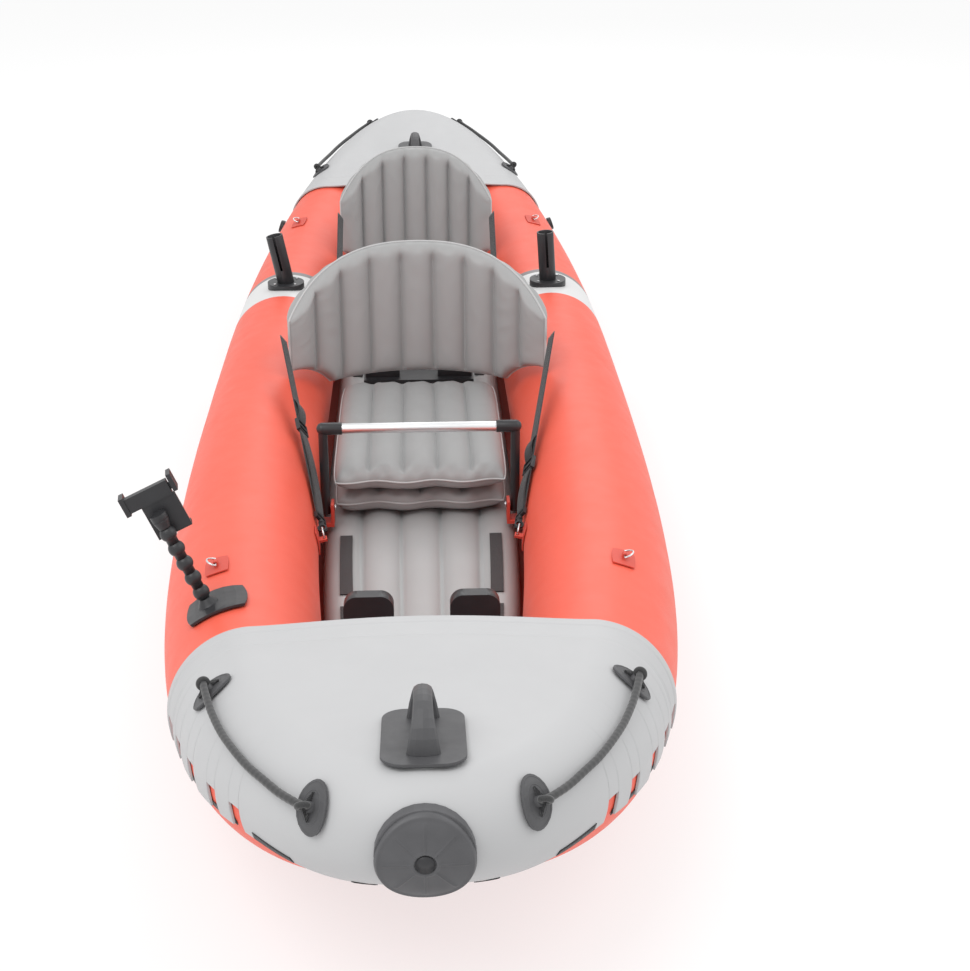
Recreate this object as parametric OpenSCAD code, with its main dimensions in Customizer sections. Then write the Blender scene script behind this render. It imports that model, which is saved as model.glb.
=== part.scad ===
// Inflatable touring kayak for two: side chambers, floor, end covers, seats and fittings.
// +Y points to the stern, +Z up. The origin is on the ground under the middle of the hull.

/* [Hull] */
// Overall length, between the fronts of the two bumper caps
hull_l = 3840; // [3200:10:4600]
// Overall width across the side chambers
hull_w = 940; // [800:5:1140]
// Diameter of a side chamber at mid length
tube_d = 264; // [230:1:316]
// Diameter of a side chamber where it meets the other at the tips
tip_d = 140; // [120:1:170]
// Inside radius of the bend at the tips
tip_inner_r = 18; // [10:1:40]
// How far the bow rises above the ground
bow_rise = 242; // [180:1:290]
// How far the stern rises above the ground
stern_rise = 300; // [180:1:340]
// Length of the level part of the hull
flat_l = 900; // [700:10:1100]

/* [Floor] */
// Width of the inflated floor
floor_w = 400; // [330:1:420]
// Length of the inflated floor
floor_l = 2600; // [2000:10:2900]
// Height of the floor's top above the bottom of the hull
floor_top = 90; // [70:1:110]
// Number of air channels in the floor
floor_channels = 5; // [3:2:7]
// Thickness of the bottom skin
bottom_t = 4; // [2:0.5:6]

/* [End covers] */
// Length of an end cover, from the tip to its inner edge
cover_l = 562; // [400:1:700]
// Thickness of a cover
cover_t = 3; // [2:0.5:5]
// Gap that the flats of a chamber need under a cover
cover_gap = 1.2; // [0.8:0.1:3]
// How much a cover rises in the middle of its inner edge
cover_crown = 16; // [0:1:30]
// Radius of a bumper cap
bumper_r = 61; // [45:1:64]
// Thickness of a bumper cap at its centre
bumper_t = 8; // [5:1:14]

/* [Carry handles] */
// Width of a handle's base patch
handle_base_w = 105; // [80:1:110]
// Length of a handle's base patch
handle_base_l = 170; // [130:1:180]
// Height of the grip's arch
grip_h = 54; // [40:1:70]
// Span of the grip, centre to centre of its feet
grip_span = 112; // [90:1:120]
// Distance of a handle's centre from mid length
handle_y = 1775; // [1700:5:1800]
// Place of the carry handle at the stern
stern_handle_y = 1560; // [1500:5:1700]

/* [Seats] */
// Width of the seat cushions
seat_w = 352; // [300:1:360]
// Depth of a seat cushion, front to back
seat_l = 520; // [440:1:560]
// Thickness of the lower cushion
seat_base_t = 60; // [40:1:70]
// Thickness of the upper cushion
seat_cushion_t = 58; // [40:1:70]
// Number of sewn channels in a cushion
seat_channels = 5; // [3:1:7]
// Back edge of the front seat
front_seat_y = -20; // [-60:5:20]
// Back edge of the rear seat
rear_seat_y = 905; // [860:5:940]
// Radius of the backrest's curve, seen from above
back_r = 320; // [280:1:360]
// Angle from the middle of the backrest to each edge
back_half_angle = 60; // [45:1:66]
// Half of the angle that the rear backrest wraps round the sitter
rear_back_half_angle = 40; // [34:1:60]
// Thickness of a backrest
back_t = 52; // [36:1:60]
// Height of the front backrest above the seat cushion
front_back_h = 300; // [220:1:330]
// Height of the rear backrest above the seat cushion
rear_back_h = 300; // [220:1:330]
// How far a backrest leans back
back_lean = 5; // [0:1:12]

/* [Rod holders] */
// Distance of the rod holders behind mid length
rod_y = 505; // [440:5:560]
// Radius of a rod holder's flange
rod_flange_r = 46; // [40:1:56]
// Height of the flange's top above the chamber
rod_flange_t = 9; // [6:0.5:14]
// Outer diameter of a rod tube
rod_od = 42; // [38:0.5:48]
// Bore of a rod tube
rod_bore = 35; // [30:0.5:40]
// Length of a rod tube
rod_l = 122; // [90:1:160]
// Outward lean of the port rod tube
rod_lean_port = -4; // [-12:1:14]
// Outward lean of the starboard rod tube
rod_lean_starboard = 11; // [-12:1:14]

/* [Accessory bar] */
// Diameter of the aluminium cross tube
bar_d = 20; // [16:0.5:24]
// Length of the bare cross tube between the elbows
bar_l = 300; // [240:1:310]
// Distance between the legs, centre to centre
bar_span = 374; // [340:1:376]
// Height of the cross tube above the floor of the hull
bar_z = 300; // [260:1:340]
// Height of the pivot bolts
bar_pivot_z = 132; // [120:1:150]
// Distance of the bar ahead of mid length
bar_y = -552; // [-620:2:-545]
// Diameter of a leg
bar_leg_d = 18; // [14:0.5:19]

/* [Phone arm] */
// Distance of the arm ahead of mid length
arm_y = -1228; // [-1240:2:-1180]
// Angle of the arm round the chamber, from the outer side
arm_beta = 67; // [58:1:75]
// Diameter of a ball link
ball_d = 26; // [20:0.5:30]
// Distance between the centres of two ball links
ball_pitch = 27; // [27:0.5:34]
// Width that the phone clamp holds when closed
clamp_w = 74; // [62:1:78]
// Height of the phone cradle
cradle_h = 82; // [76:1:90]

/* [Footrests] */
// Width of a foot pad
foot_pad_w = 82; // [60:1:90]
// Distance between the centres of the two foot pads
foot_pad_gap = 174; // [150:1:190]
// Height of the foot pads above the floor
foot_pad_h = 108; // [80:1:130]
// Place of the front footrest
front_foot_y = -1130; // [-1180:5:-1050]
// Place of the rear footrest
rear_foot_y = 215; // [180:5:240]

/* [Fittings] */
// Distance of the lashing rings from mid length
ring_y = 1080; // [1000:5:1140]
// Inner radius of a lashing ring
ring_r = 13; // [10:0.5:15]
// Wire diameter of a lashing ring
ring_wire = 3; // [2:0.2:4]
// Radius of a grab line patch along the hull
rope_patch_l = 25; // [20:1:34]
// Radius of a grab line patch round the hull
rope_patch_w = 34; // [24:1:38]
// Diameter of a grab line
rope_d = 11; // [8:0.5:12]
// Width of the seat straps
strap_w = 25; // [20:1:30]
// Thickness of the seat straps
strap_t = 2; // [1.5:0.5:3]
// Radius of an air valve's body
valve_r = 19; // [15:0.5:24]
// Length of the skeg
skeg_l = 150; // [110:1:180]
// Depth of the skeg
skeg_depth = 78; // [50:1:90]

/* [Hidden] */

$fn = 48;
gap = 0.3;                  // clearance between two pieces that rest on each other
seam_gap = 0.4;             // gap between the two chambers at the tips
tube_sides = 24;            // flats round a chamber
tube_steps = 56;            // rings along a chamber
facet = 360 / tube_sides;
rise_power = 3.3;           // how late the keel line begins to rise
taper_power = 4;            // how late the chambers begin to taper
end_gap = 0.8;              // gap behind a bumper cap
tip_out = cover_gap + cover_t + 2;

axis_l = (hull_l - tip_d) / 2 - tip_out - bumper_t;
axis_w = (hull_w - tube_d) / 2;
fullness = 2 * axis_l * (tip_d / 2 + tip_inner_r) / pow(axis_w, 2);

function unit(v) = v / norm(v);
function mix(p, q, t) = p + (q - p) * t;
function flip(p, s) = [s * p.x, p.y, p.z];
function smooth(t) = let (c = min(1, max(0, t))) c * c * (3 - 2 * c);

// The chamber's centreline. The angle a runs from -90 at the bow to 90 at the stern.
function rise_share(y) = max(0, abs(y) - flat_l / 2) / (axis_l - flat_l / 2);
function keel(y) = (y < 0 ? bow_rise : stern_rise) * pow(rise_share(y), rise_power);
function tube_r(y) = mix(tube_d, tip_d, pow(rise_share(y), taper_power)) / 2;
function axis_x(y) = let (full = sqrt(max(0, 1 - pow(abs(y) / axis_l, fullness))))
    mix(seam_gap / 2, axis_w, full);
function axis_pt(a) = let (y = axis_l * sin(a)) [axis_x(y), y, keel(y) + tube_r(y)];
function along(a) = abs(a) >= 90 ? [-sign(a), 0,
    0] : unit(axis_pt(min(90, a + 0.5)) - axis_pt(max(-90, a - 0.5)));
function outward(a) = let (t = along(a)) unit([t.y, -t.x, 0]);
function upward(a) = cross(outward(a), along(a));
function normal_at(a, b) = cos(b) * outward(a) + sin(b) * upward(a);
function tube_pt(a, b, r) = axis_pt(a) + r * normal_at(a, b);
function angle_of(y) = asin(y / axis_l);
function r_at(a) = tube_r(axis_l * sin(a));
// Radius over the corners of a chamber's flats
function corner_r(a) = r_at(a) / cos(facet / 2);
// The height of a chamber's upper surface at a place in the cockpit
function tube_top_z(x, y) = let (r = tube_r(y) / cos(facet / 2), d = abs(abs(x) - axis_x(y)))
    keel(y) + tube_r(y) + (d < r ? sqrt(r * r - d * d) : 0);

// A closed tube through rings of equally many points
module skin(rings) {
    n = len(rings[0]);
    m = len(rings);
    sides = [for (k = [0:m - 2], i = [0:n - 1])
        let (j = (i + 1) % n) each [[k * n + i, k * n + j, (k + 1) * n + j],
            [k * n + i, (k + 1) * n + j, (k + 1) * n + i]]];
    first = [for (i = [n - 1:-1:0]) i];
    last = [for (i = [0:n - 1]) (m - 1) * n + i];
    polyhedron([for (r = rings) each r], concat([first], sides, [last]));
}

// A closed shell between an outer and an inner grid of points. In columns cross0 to cross1 the quads
// are split along their other diagonal, so that a domed shell's two halves mirror each other.
module shell(outer, inner, cross0 = 0, cross1 = -1) {
    m = len(outer);
    n = len(outer[0]);
    o = m * n;
    function other(q, j) = j < cross0 || j > cross1 ? q : [q[1], q[2], q[3], q[0]];
    quads = concat(
        [for (i = [0:m - 2], j = [0:n - 2])
            other([i * n + j, i * n + j + 1, (i + 1) * n + j + 1, (i + 1) * n + j], j)],
        [for (i = [0:m - 2], j = [0:n - 2])
            other([o + i * n + j, o + (i + 1) * n + j, o + (i + 1) * n + j + 1, o + i * n + j + 1], j)],
        [for (i = [0:m - 2]) [i * n, (i + 1) * n, o + (i + 1) * n, o + i * n]],
        [for (i = [0:m - 2]) [i * n + n - 1, o + i * n + n - 1, o + (i + 1) * n + n - 1,
            (i + 1) * n + n - 1]],
        [for (j = [0:n - 2]) [j, o + j, o + j + 1, j + 1]],
        [for (j = [0:n - 2]) [(m - 1) * n + j, (m - 1) * n + j + 1, o + (m - 1) * n + j + 1,
            o + (m - 1) * n + j]]);
    polyhedron(concat([for (r = outer) each r], [for (r = inner) each r]),
        [for (q = quads) each [[q[0], q[1], q[2]], [q[0], q[2], q[3]]]]);
}

// A round tube swept along a route of points
module cord(route, d, sides) {
    n = len(route);
    skin([for (i = [0:n - 1])
        let (t = unit(route[min(n - 1, i + 1)] - route[max(0, i - 1)]),
             u = unit(cross(t, [0, 0, 1])), v = cross(u, t))
        [for (k = [0:sides - 1]) let (b = -360 * k / sides) route[i] + d / 2 * (cos(b) * u + sin(b) * v)]]);
}

// Puts its children on a frame: origin p, z along normal n, y along direction t
module on_frame(p, n, t) {
    z = unit(n);
    x = unit(cross(t, z));
    y = cross(z, x);
    multmatrix([[x.x, y.x, z.x, p.x], [x.y, y.y, z.y, p.y], [x.z, y.z, z.z, p.z], [0, 0, 0, 1]]) children();
}
module on_tube(a, b, r) {
    on_frame(tube_pt(a, b, r), normal_at(a, b), along(a)) children();
}
module port_and_starboard() {
    children();
    mirror([1, 0, 0]) children();
}

// A square grid rounded towards a disc: k = 0 keeps the square, k = 1 gives the disc
function pad_uv(i, j, n, k) = let (x = 2 * i / n - 1, y = 2 * j / n - 1)
    [x * sqrt(1 - k * y * y / 2), y * sqrt(1 - k * x * x / 2)];
// A pad that follows a chamber: half sizes hl along it and hw round it, from radius r0 to r1
module tube_pad(a, b, hl, hw, r0, r1, k, n = 4) {
    per_degree = norm(tube_pt(a + 0.5, b, r0) - tube_pt(a - 0.5, b, r0));
    function at(i, j, r) = let (p = pad_uv(i, j, n, k))
        tube_pt(a + p.x * hl / per_degree, b + p.y * hw / r0 * 180 / PI, r);
    shell([for (i = [0:n]) [for (j = [0:n]) at(i, j, r1)]], [for (i = [0:n]) [for (j = [0:n]) at(i, j, r0)]]);
}
// Inner radius of a pad on a bare chamber
function pad_r(a) = corner_r(a) + gap + 0.55;

// ---- Hull ----
module chamber() {
    skin([for (k = [0:tube_steps]) let (a = -90 + 180 * k / tube_steps)
        [for (i = [0:tube_sides - 1]) tube_pt(a, (i + 0.5) * facet, corner_r(a))]]);
}
module chamber_port() { color("tomato") chamber(); }
module chamber_starboard() { color("tomato") mirror([1, 0, 0]) chamber(); }

// The bottom skin joins the chambers along one of their lower inner flats
bottom_low = 270 - 1.5 * facet;     // corner of the chamber where the skin's lower side begins
bottom_up = bottom_low - facet;
bottom_ends = 2;                    // rings left out at each tip
function bottom_pt(a, t) = mix(tube_pt(a, bottom_low, corner_r(a) + 2 * gap),
    tube_pt(a, bottom_up, corner_r(a) + 2 * gap), t);
function bottom_share(a) = bottom_t / (corner_r(a) * (sin(bottom_low - 180) - sin(bottom_up - 180)));
module hull_bottom() {
    color("tomato")
    skin([for (k = [bottom_ends:tube_steps - bottom_ends])
        let (a = -90 + 180 * k / tube_steps, low = bottom_pt(a, 0), up = bottom_pt(a, bottom_share(a)))
        [low, up, flip(up, -1), flip(low, -1)]]);
}

// The floor: lengthwise channels whose seams are sunk by floor_groove
floor_groove = 14;
floor_steps = 24;
floor_cuts = 4;                     // flats across one channel
function bottom_z(y) = keel(y) + tube_r(y) * (1 - sin(bottom_low - 180) / cos(facet / 2)) + bottom_t + 2 * gap;
function floor_half(y) = min(floor_w / 2, axis_x(y) - tube_r(y) / cos(facet / 2) - 3);
function floor_z(x, y) = let (pitch = 2 * floor_half(0) / floor_channels, c = x / pitch + floor_channels / 2,
    d = 2 * (c - floor(c)) - 1) keel(y) + floor_top - floor_groove * d * d;
floor_side = 0.45;                  // height of the floor's widest line, as a share of its thickness
module floor_chamber() {
    n = floor_channels * floor_cuts;
    color("silver")
    skin([for (k = [0:floor_steps])
        let (y = mix(-floor_l, floor_l, k / floor_steps) / 2, end = k == 0 || k == floor_steps,
             w = floor_half(y) - (end ? 20 : 0), low = bottom_z(y), thick = (end ? 0.6 : 1))
        concat([for (i = [0:n]) let (x = mix(w, -w, i / n) * 0.94, xs =
            floor_half(0) * (1 - 2 * i / n) * 0.999)
                    [x, y, mix(low, floor_z(xs, y), thick)]],
            [[-w, y, low + thick * floor_side * (floor_top - 20)], [-w * 0.92, y, low],
             [w * 0.92, y, low], [w, y, low + thick * floor_side * (floor_top - 20)]])]);
}

// ---- End covers ----
cover_a = asin((hull_l / 2 - cover_l) / axis_l);
ring_step = 180 / tube_steps;
// The cover's rows stand on the chamber's own rings, so the two run parallel
cover_rows = concat([cover_a], [for (k = [floor((90 - cover_a - 1) / ring_step):-1:0]) 90 - k * ring_step]);
cover_cols = 7;                     // spaces from the cover's lower edge to the top of the chamber
cover_mid = 6;                      // spaces across the middle
cover_side_low = -14;               // where the lower edge runs along the sides
cover_tip_low = -72;                // where it wraps under the tip
cover_wrap = 66;                    // the centreline angle at which it begins to drop
function cover_low(a) = mix(cover_side_low, cover_tip_low, smooth((a - cover_wrap) / (90 - cover_wrap)));
function cover_turn(a) = (90 - cover_low(a)) / cover_cols;
function cover_r(a, t) = (corner_r(a) + cover_gap + t) / cos(cover_turn(a) / 2);
function cover_row(end, a, t) = let (
    side = [for (j = [0:cover_cols]) tube_pt(end * a, cover_low(a) + j * cover_turn(a), cover_r(a, t))],
    top = side[cover_cols],
    middle = [for (i = [1:cover_mid - 1]) let (u = 1 - 2 * i / cover_mid)
        [top.x * u, top.y, top.z + cover_crown * top.x / axis_w * (1 - u * u)]])
    concat(side, middle, [for (j = [cover_cols:-1:0]) flip(side[j], -1)]);
module cover(end) {
    last = len(cover_rows) - 1;
    rows = [for (k = [0:last]) cover_rows[end > 0 ? k : last - k]];
    half = cover_cols + cover_mid / 2;
    shell([for (a = rows) cover_row(end, a, cover_t)], [for (a = rows) cover_row(end, a, 0)],
        end > 0 ? half : 0, end > 0 ? 2 * half : half - 1);
}
module bow_cover() { color("gainsboro") cover(-1); }
module stern_cover() { color("gainsboro") cover(1); }
// A place on a cover near the tip: q is the angle back from the tip, positive to port
function tip_pt(end, q, b, r) = flip(tube_pt(end * (90 - abs(q)), b, r), q < 0 ? -1 : 1);
// The radius over a cover's corners, for what sits on it
function on_cover_r(a) = cover_r(a, cover_t) + gap;

// A bumper cap is a rubber plug with a nearly flat front, hollowed at the back to the cover
bumper_cells = 8;
bumper_dome = 7;
bumper_fall = 22;                   // how far the face falls back at its top and bottom
module bumper(end) {
    r0 = on_cover_r(90) + end_gap;
    bend = tip_d / 2 + tip_inner_r;
    per_degree = axis_w * sqrt(fullness / 2) * PI / 180;
    function spread(i, j) = pad_uv(i, j, bumper_cells, 1);
    // the cover's outer side behind the cap
    function back(i, j) = let (p = spread(i, j), b = asin(p.y * bumper_r / r0))
        tip_pt(end, end * p.x * bumper_r * bend / (bend + r0 * cos(b)) / per_degree, b, r0);
    function face(i, j) = let (p = spread(i, j), c = back(i, j))
        [c.x, end * (hull_l / 2 - bumper_dome * p.x * p.x - bumper_fall * p.y * p.y), c.z];
    shell([for (j = [0:bumper_cells]) [for (i = [0:bumper_cells]) face(i, j)]],
        [for (j = [0:bumper_cells]) [for (i = [0:bumper_cells]) back(i, j)]]);
}
module bow_bumper() { color("dimgray") bumper(-1); }
module stern_bumper() { color("dimgray") bumper(1); }

// ---- Carry handles ----
handle_patch_t = 4;
function handle_at(end) = end > 0 ? stern_handle_y : handle_y;
// Height of a cover's upper side on the centreline
function deck_pt(end, y) = let (a = asin(min(1, y / axis_l)), top = tube_pt(end * a, 90, on_cover_r(a)))
    [0, top.y, top.z + cover_crown * top.x / axis_w];
function deck_slope(end, y) = unit(deck_pt(end, y + 30) - deck_pt(end, y - 30));
module on_deck(end, y) {
    t = deck_slope(end, y) * end;
    on_frame(deck_pt(end, y) + [0, 0, y < 1700 ? 1.3 : 0.6], cross([1, 0, 0], t), t) children();
}
module rounded_plate(w, l, t, r) {
    linear_extrude(t) union() {
        square([w - 2 * r, l], center = true);
        square([w, l - 2 * r], center = true);
        for (x = [-1, 1], y = [-1, 1]) translate([x * (w / 2 - r), y * (l / 2 - r)]) circle(r);
    }
}
module handle_patch(end) {
    on_deck(end, handle_at(end)) rounded_plate(handle_base_w, handle_base_l, handle_patch_t, 30);
}
module handle_patches() {
    color("dimgray") { handle_patch(-1); handle_patch(1); }
}
grip_steps = 14;
grip_sides = 12;
grip_t = 15;
function grip_w(u) = mix(24, 42, pow(abs(u), 3));
module grip() {
    skin([for (k = [0:grip_steps])
        let (u = 2 * k / grip_steps - 1, b = 90 * u, c =
            [0, grip_span / 2 * sin(b), grip_h * pow(max(0, cos(b)), 0.7)],
             n = unit([0, sin(b) * grip_h, cos(b) * grip_span / 2]))
        [for (i = [0:grip_sides - 1]) let (w = -360 * i / grip_sides)
            c + [grip_w(u) / 2 * cos(w), 0, 0] + n * grip_t / 2 * sin(w)]]);
}
module handle(end) {
    on_deck(end, handle_at(end)) translate([0, 0, handle_patch_t + gap]) {
        intersection() {
            grip();
            translate([-50, -handle_base_l / 2, 0]) cube([100, handle_base_l, 2 * grip_h]);
        }
    }
}
module bow_handle() { color("dimgray") handle(-1); }
module stern_handle() { color("dimgray") handle(1); }

// ---- Grab lines ----
rope_rear_a = 55.5;                 // place of the patch nearer the cockpit
rope_rear_b = 53;
rope_tip_a = 78.8;                  // place of the patch nearer the tip
rope_tip_b = 33;
rope_patch_t = 3;
eye_r = 7;
eye_h = 8;
module rope_patch(end, a, b) {
    r = on_cover_r(a) + 1.1;
    tube_pad(end * a, b, rope_patch_l, rope_patch_w, r, r + rope_patch_t, 1, 6);
    on_tube(end * a, b, r + rope_patch_t / 2) cylinder(r = eye_r, h = eye_h);
}
module rope_patches(end) {
    port_and_starboard() {
        rope_patch(end, rope_rear_a, rope_rear_b);
        rope_patch(end, rope_tip_a, rope_tip_b);
    }
}
module rope_patches_bow() { color("dimgray") rope_patches(-1); }
module rope_patches_stern() { color("dimgray") rope_patches(1); }
// Routes of the port grab lines, from the cockpit patch to the tip patch
rope_bow = [[303, -1512, 315], [295, -1545, 315], [283, -1587, 315], [265, -1639, 318], [244, -1689, 324],
    [221, -1736, 330], [198, -1775, 336], [177, -1809, 341], [158, -1836, 347], [144, -1853, 351]];
rope_stern = [[305, 1506, 338], [297, 1539, 339], [285, 1581, 343], [267, 1633, 350], [247, 1684, 360],
    [223, 1731, 371], [201, 1771, 380], [180, 1805, 389], [160, 1833, 397], [147, 1850, 403]];
module grab_line_bow_port() { color("#333333") cord(rope_bow, rope_d, 8); }
module grab_line_bow_starboard() { color("#333333") mirror([1, 0, 0]) cord(rope_bow, rope_d, 8); }
module grab_line_stern_port() { color("#333333") cord(rope_stern, rope_d, 8); }
module grab_line_stern_starboard() { color("#333333") mirror([1, 0, 0]) cord(rope_stern, rope_d, 8); }

// ---- Seats ----
// The outline of a cushion seen from the front: sewn channels with arched tops
channel_cuts = 6;
function scallop(w, n, crown) = [for (i = [0:n * channel_cuts])
    let (u = 2 * (i / channel_cuts - floor(i / channel_cuts)) - 1)
    [w * (i / (n * channel_cuts) - 0.5), i == n * channel_cuts ? -crown : -crown * u * u]];
module cushion(w, l, t, crown) {
    side = 8;
    top = scallop(w - 2 * side, seat_channels, crown);
    bottom = [for (p = top) [-p.x, -t - p.y * 0.3]];
    rotate([90, 0, 0]) linear_extrude(l)
        polygon(concat([for (p = top) p], [[w / 2, -t / 2]], [for (p = bottom) [p.x, p.y]],
            [[-w / 2, -t / 2]]));
}
seat_crown = 10;
function seat_base_top(y) = keel(y) + floor_top + gap + seat_base_t;
function seat_top(y) = seat_base_top(y) + gap + seat_cushion_t;
module seat_base(y) {
    color("darkgray") translate([0, y, seat_base_top(y)])
        cushion(seat_w, seat_l - 30, seat_base_t, seat_crown);
}
module seat_cushion(y) {
    color("darkgray") translate([0, y, seat_top(y)]) cushion(seat_w, seat_l, seat_cushion_t, seat_crown);
}
// A backrest: an upright pad, curved round the sitter, with an arched top edge
back_cols = 16;
back_rows = 5;
back_side_clear = 6;
back_edge_h = 110;                  // height of the pad at its outer edges
function back_half(seat_y) = seat_y == rear_seat_y ? rear_back_half_angle : back_half_angle;
function back_low(x, y) = max(seat_top(y) + 4, tube_top_z(abs(x) + back_t / 4, y) + back_side_clear);
function back_high(u, h) = mix(h, 62 + back_edge_h, pow(abs(u), 2.6));
function back_pt(seat_y, h, i, j, r) = let (
    u = 2 * i / back_cols - 1, b = back_half(seat_y) * u,
    x = r * sin(b), fwd = back_r - r * cos(b), y0 = seat_y + back_t / 2 + 6,
    low = back_low((back_r + back_t / 2) * sin(b), seat_y), z =
        mix(low, seat_top(seat_y) + back_high(u, h), j / back_rows))
    [x, y0 - fwd + (z - seat_top(seat_y)) * tan(back_lean), z];
module backrest(seat_y, h) {
    puff = [for (j = [0:back_rows]) (j == 0 || j == back_rows) ? 0.5 : 1];
    function t_at(i, j) = back_t / 2 * puff[j] * (i == 0 || i == back_cols ? 0.45 : 1);
    shell([for (j = [0:back_rows]) [for (i = [0:back_cols]) back_pt(seat_y, h, i, j, back_r + t_at(i, j))]],
        [for (j = [0:back_rows]) [for (i = [0:back_cols]) back_pt(seat_y, h, i, j, back_r - t_at(i, j))]]);
}
module front_seat_base() { seat_base(front_seat_y); }
module front_seat_cushion() { seat_cushion(front_seat_y); }
module front_backrest() { color("darkgray") backrest(front_seat_y, front_back_h); }
module rear_seat_base() { seat_base(rear_seat_y); }
module rear_seat_cushion() { seat_cushion(rear_seat_y); }
module rear_backrest() { color("darkgray") backrest(rear_seat_y, rear_back_h); }

// ---- Seat straps, hooks and anchor rings on the port side; the starboard side mirrors them ----
anchor_ahead = 725;                 // distance of the anchor ring ahead of the seat's back edge
anchor_b = 172;                     // its angle round the chamber
eye_lift = 12;                      // height of the eye's hole above its patch
anchor_ring_r = 13;
anchor_wire = 3.6;
function anchor_a(seat_y) = angle_of(seat_y - anchor_ahead);
function anchor(seat_y) = let (a = anchor_a(seat_y)) tube_pt(a, anchor_b, pad_r(a) + eye_lift);
strap_beside = 0.75;
function strap_top(seat_y) = let (b = back_half(seat_y))
    // the strap's end lies behind the edge of a wide pad, or against the side of a narrow one
    let (behind = b < 50 ? 0 : 16.3, beside = b < 50 ? strap_beside : -2.2)
    [(back_r + behind) * sin(b) + beside * cos(b),
        seat_y + back_t / 2 + 6 - back_r + (back_r + behind) * cos(b) - beside * sin(b), seat_top(seat_y) + 134];
function strap_line(seat_y) = unit(strap_top(seat_y) - anchor(seat_y));
function square_to(v, l) = unit(v - (v * l) * l);
// A strap's flat side leans over the chamber's shoulder; the ring lies along the chamber's wall
function strap_n(seat_y) = square_to(normal_at(anchor_a(seat_y), 148), strap_line(seat_y));
function ring_n(seat_y) = square_to(normal_at(anchor_a(seat_y), anchor_b), strap_line(seat_y));
// Children stand on the strap's line at distance d from the anchor's eye, with y along the line
module on_line(seat_y, d, n) { on_frame(anchor(seat_y) + strap_line(seat_y) * d, n, strap_line(seat_y))
    children(); }
hook_at = 2 * anchor_ring_r + 3.4;  // centre of the hook's loop
hook_r = 9;
hook_hole = 6;
hook_t = 5;
strap_from = hook_at + hook_r + 26.4;
buckle_at_port = 200;               // distance of a buckle from the eye: the straps are drawn in unequally
buckle_at_starboard = 330;
buckle_l = 34;
module strap(seat_y) {
    l = strap_line(seat_y);
    n = strap_n(seat_y);
    w = cross(l, n);
    rows = 6;
    reach = norm(strap_top(seat_y) - anchor(seat_y));
    function edge(k, s, t) = anchor(seat_y) + l * mix(strap_from, reach,
        k / rows) + w * s * strap_w / 2 + n * t;
    shell([for (k = [0:rows]) [for (s = [1, -1]) edge(k, s, strap_t / 2)]],
        [for (k = [0:rows]) [for (s = [1, -1]) edge(k, s, -strap_t / 2)]]);
}
module buckle(seat_y, d) {
    on_line(seat_y, d, strap_n(seat_y)) difference() {
        cube([strap_w + 9, buckle_l, strap_t + 6], center = true);
        cube([strap_w + 1, buckle_l + 2, strap_t + 1], center = true);
        for (s = [-1, 1]) translate([0, s * buckle_l / 4, 0])
            cube([strap_w + 1, buckle_l / 4, 20], center = true);
    }
}
module snap_hook(seat_y) {
    // the loop that holds the ring, edge-on to it
    on_line(seat_y, hook_at, cross(strap_line(seat_y), ring_n(seat_y))) difference() {
        union() {
            cylinder(r = hook_r, h = hook_t, center = true);
            translate([-5, 0, -hook_t / 2]) cube([10, hook_r + 8, hook_t]);
        }
        cylinder(r = hook_hole, h = 20, center = true);
    }
    // the swivel and the eye for the strap
    on_line(seat_y, hook_at + hook_r + 6, strap_n(seat_y)) {
        rotate([-90, 0, 0]) cylinder(r = 4.5, h = 8);
        translate([0, 13, 0]) difference() {
            cube([strap_w + 7, 14, 6], center = true);
            translate([0, 1.5, 0]) cube([strap_w + 1, 5, 20], center = true);
        }
    }
}
module seat_ring(seat_y) {
    on_line(seat_y, anchor_ring_r, ring_n(seat_y))
        rotate_extrude() translate([anchor_ring_r, 0]) circle(r = anchor_wire / 2);
}
module front_seat_straps() { color("#222222") port_and_starboard() strap(front_seat_y); }
module rear_seat_straps() { color("#222222") port_and_starboard() strap(rear_seat_y); }
module strap_buckles() {
    color("#1a1a1a") for (y = [front_seat_y, rear_seat_y]) {
        buckle(y, buckle_at_port);
        mirror([1, 0, 0]) buckle(y, buckle_at_starboard);
    }
}
module snap_hooks() {
    color("#1a1a1a") port_and_starboard() {
        snap_hook(front_seat_y);
        snap_hook(rear_seat_y);
    }
}
module seat_rings() {
    color("silver") port_and_starboard() {
        seat_ring(front_seat_y);
        seat_ring(rear_seat_y);
    }
}

// ---- Rod holders ----
rod_a = angle_of(rod_y);
rod_floor = 14;
screw_r = 3.2;
screw_at = rod_flange_r - 10;
module at_rod() { on_tube(rod_a, 90, corner_r(rod_a) + gap) children(); }
module rod_base() {
    skirt = 12;
    at_rod() difference() {
        translate([0, 0, -skirt]) cylinder(r = rod_flange_r, h = skirt + rod_flange_t);
        rotate([90, 0, 0]) translate([0, -corner_r(rod_a) - gap, 0])
            cylinder(r = corner_r(rod_a) + gap, h = 3 * rod_flange_r, center = true, $fn = 96);
    }
}
module rod_tube(lean) {
    at_rod() translate([0, 0, rod_flange_t + gap]) difference() {
        rotate([0, lean, 0]) translate([0, 0, -14]) cylinder(r = rod_od / 2, h = rod_l + 14);
        translate([-60, -60, -60]) cube([120, 120, 60]);
        rotate([0, lean, 0]) translate([0, 0, rod_floor]) cylinder(r = rod_bore / 2, h = rod_l);
        rotate([0, lean, 0]) translate([-3, -rod_od, rod_floor + 20]) cube([6, rod_od, rod_l]);
    }
}
module rod_bases() { color("#1f1f1f") port_and_starboard() rod_base(); }
module rod_tube_port() { color("#1f1f1f") rod_tube(rod_lean_port); }
module rod_tube_starboard() { color("#1f1f1f") mirror([1, 0, 0]) rod_tube(rod_lean_starboard); }
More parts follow.
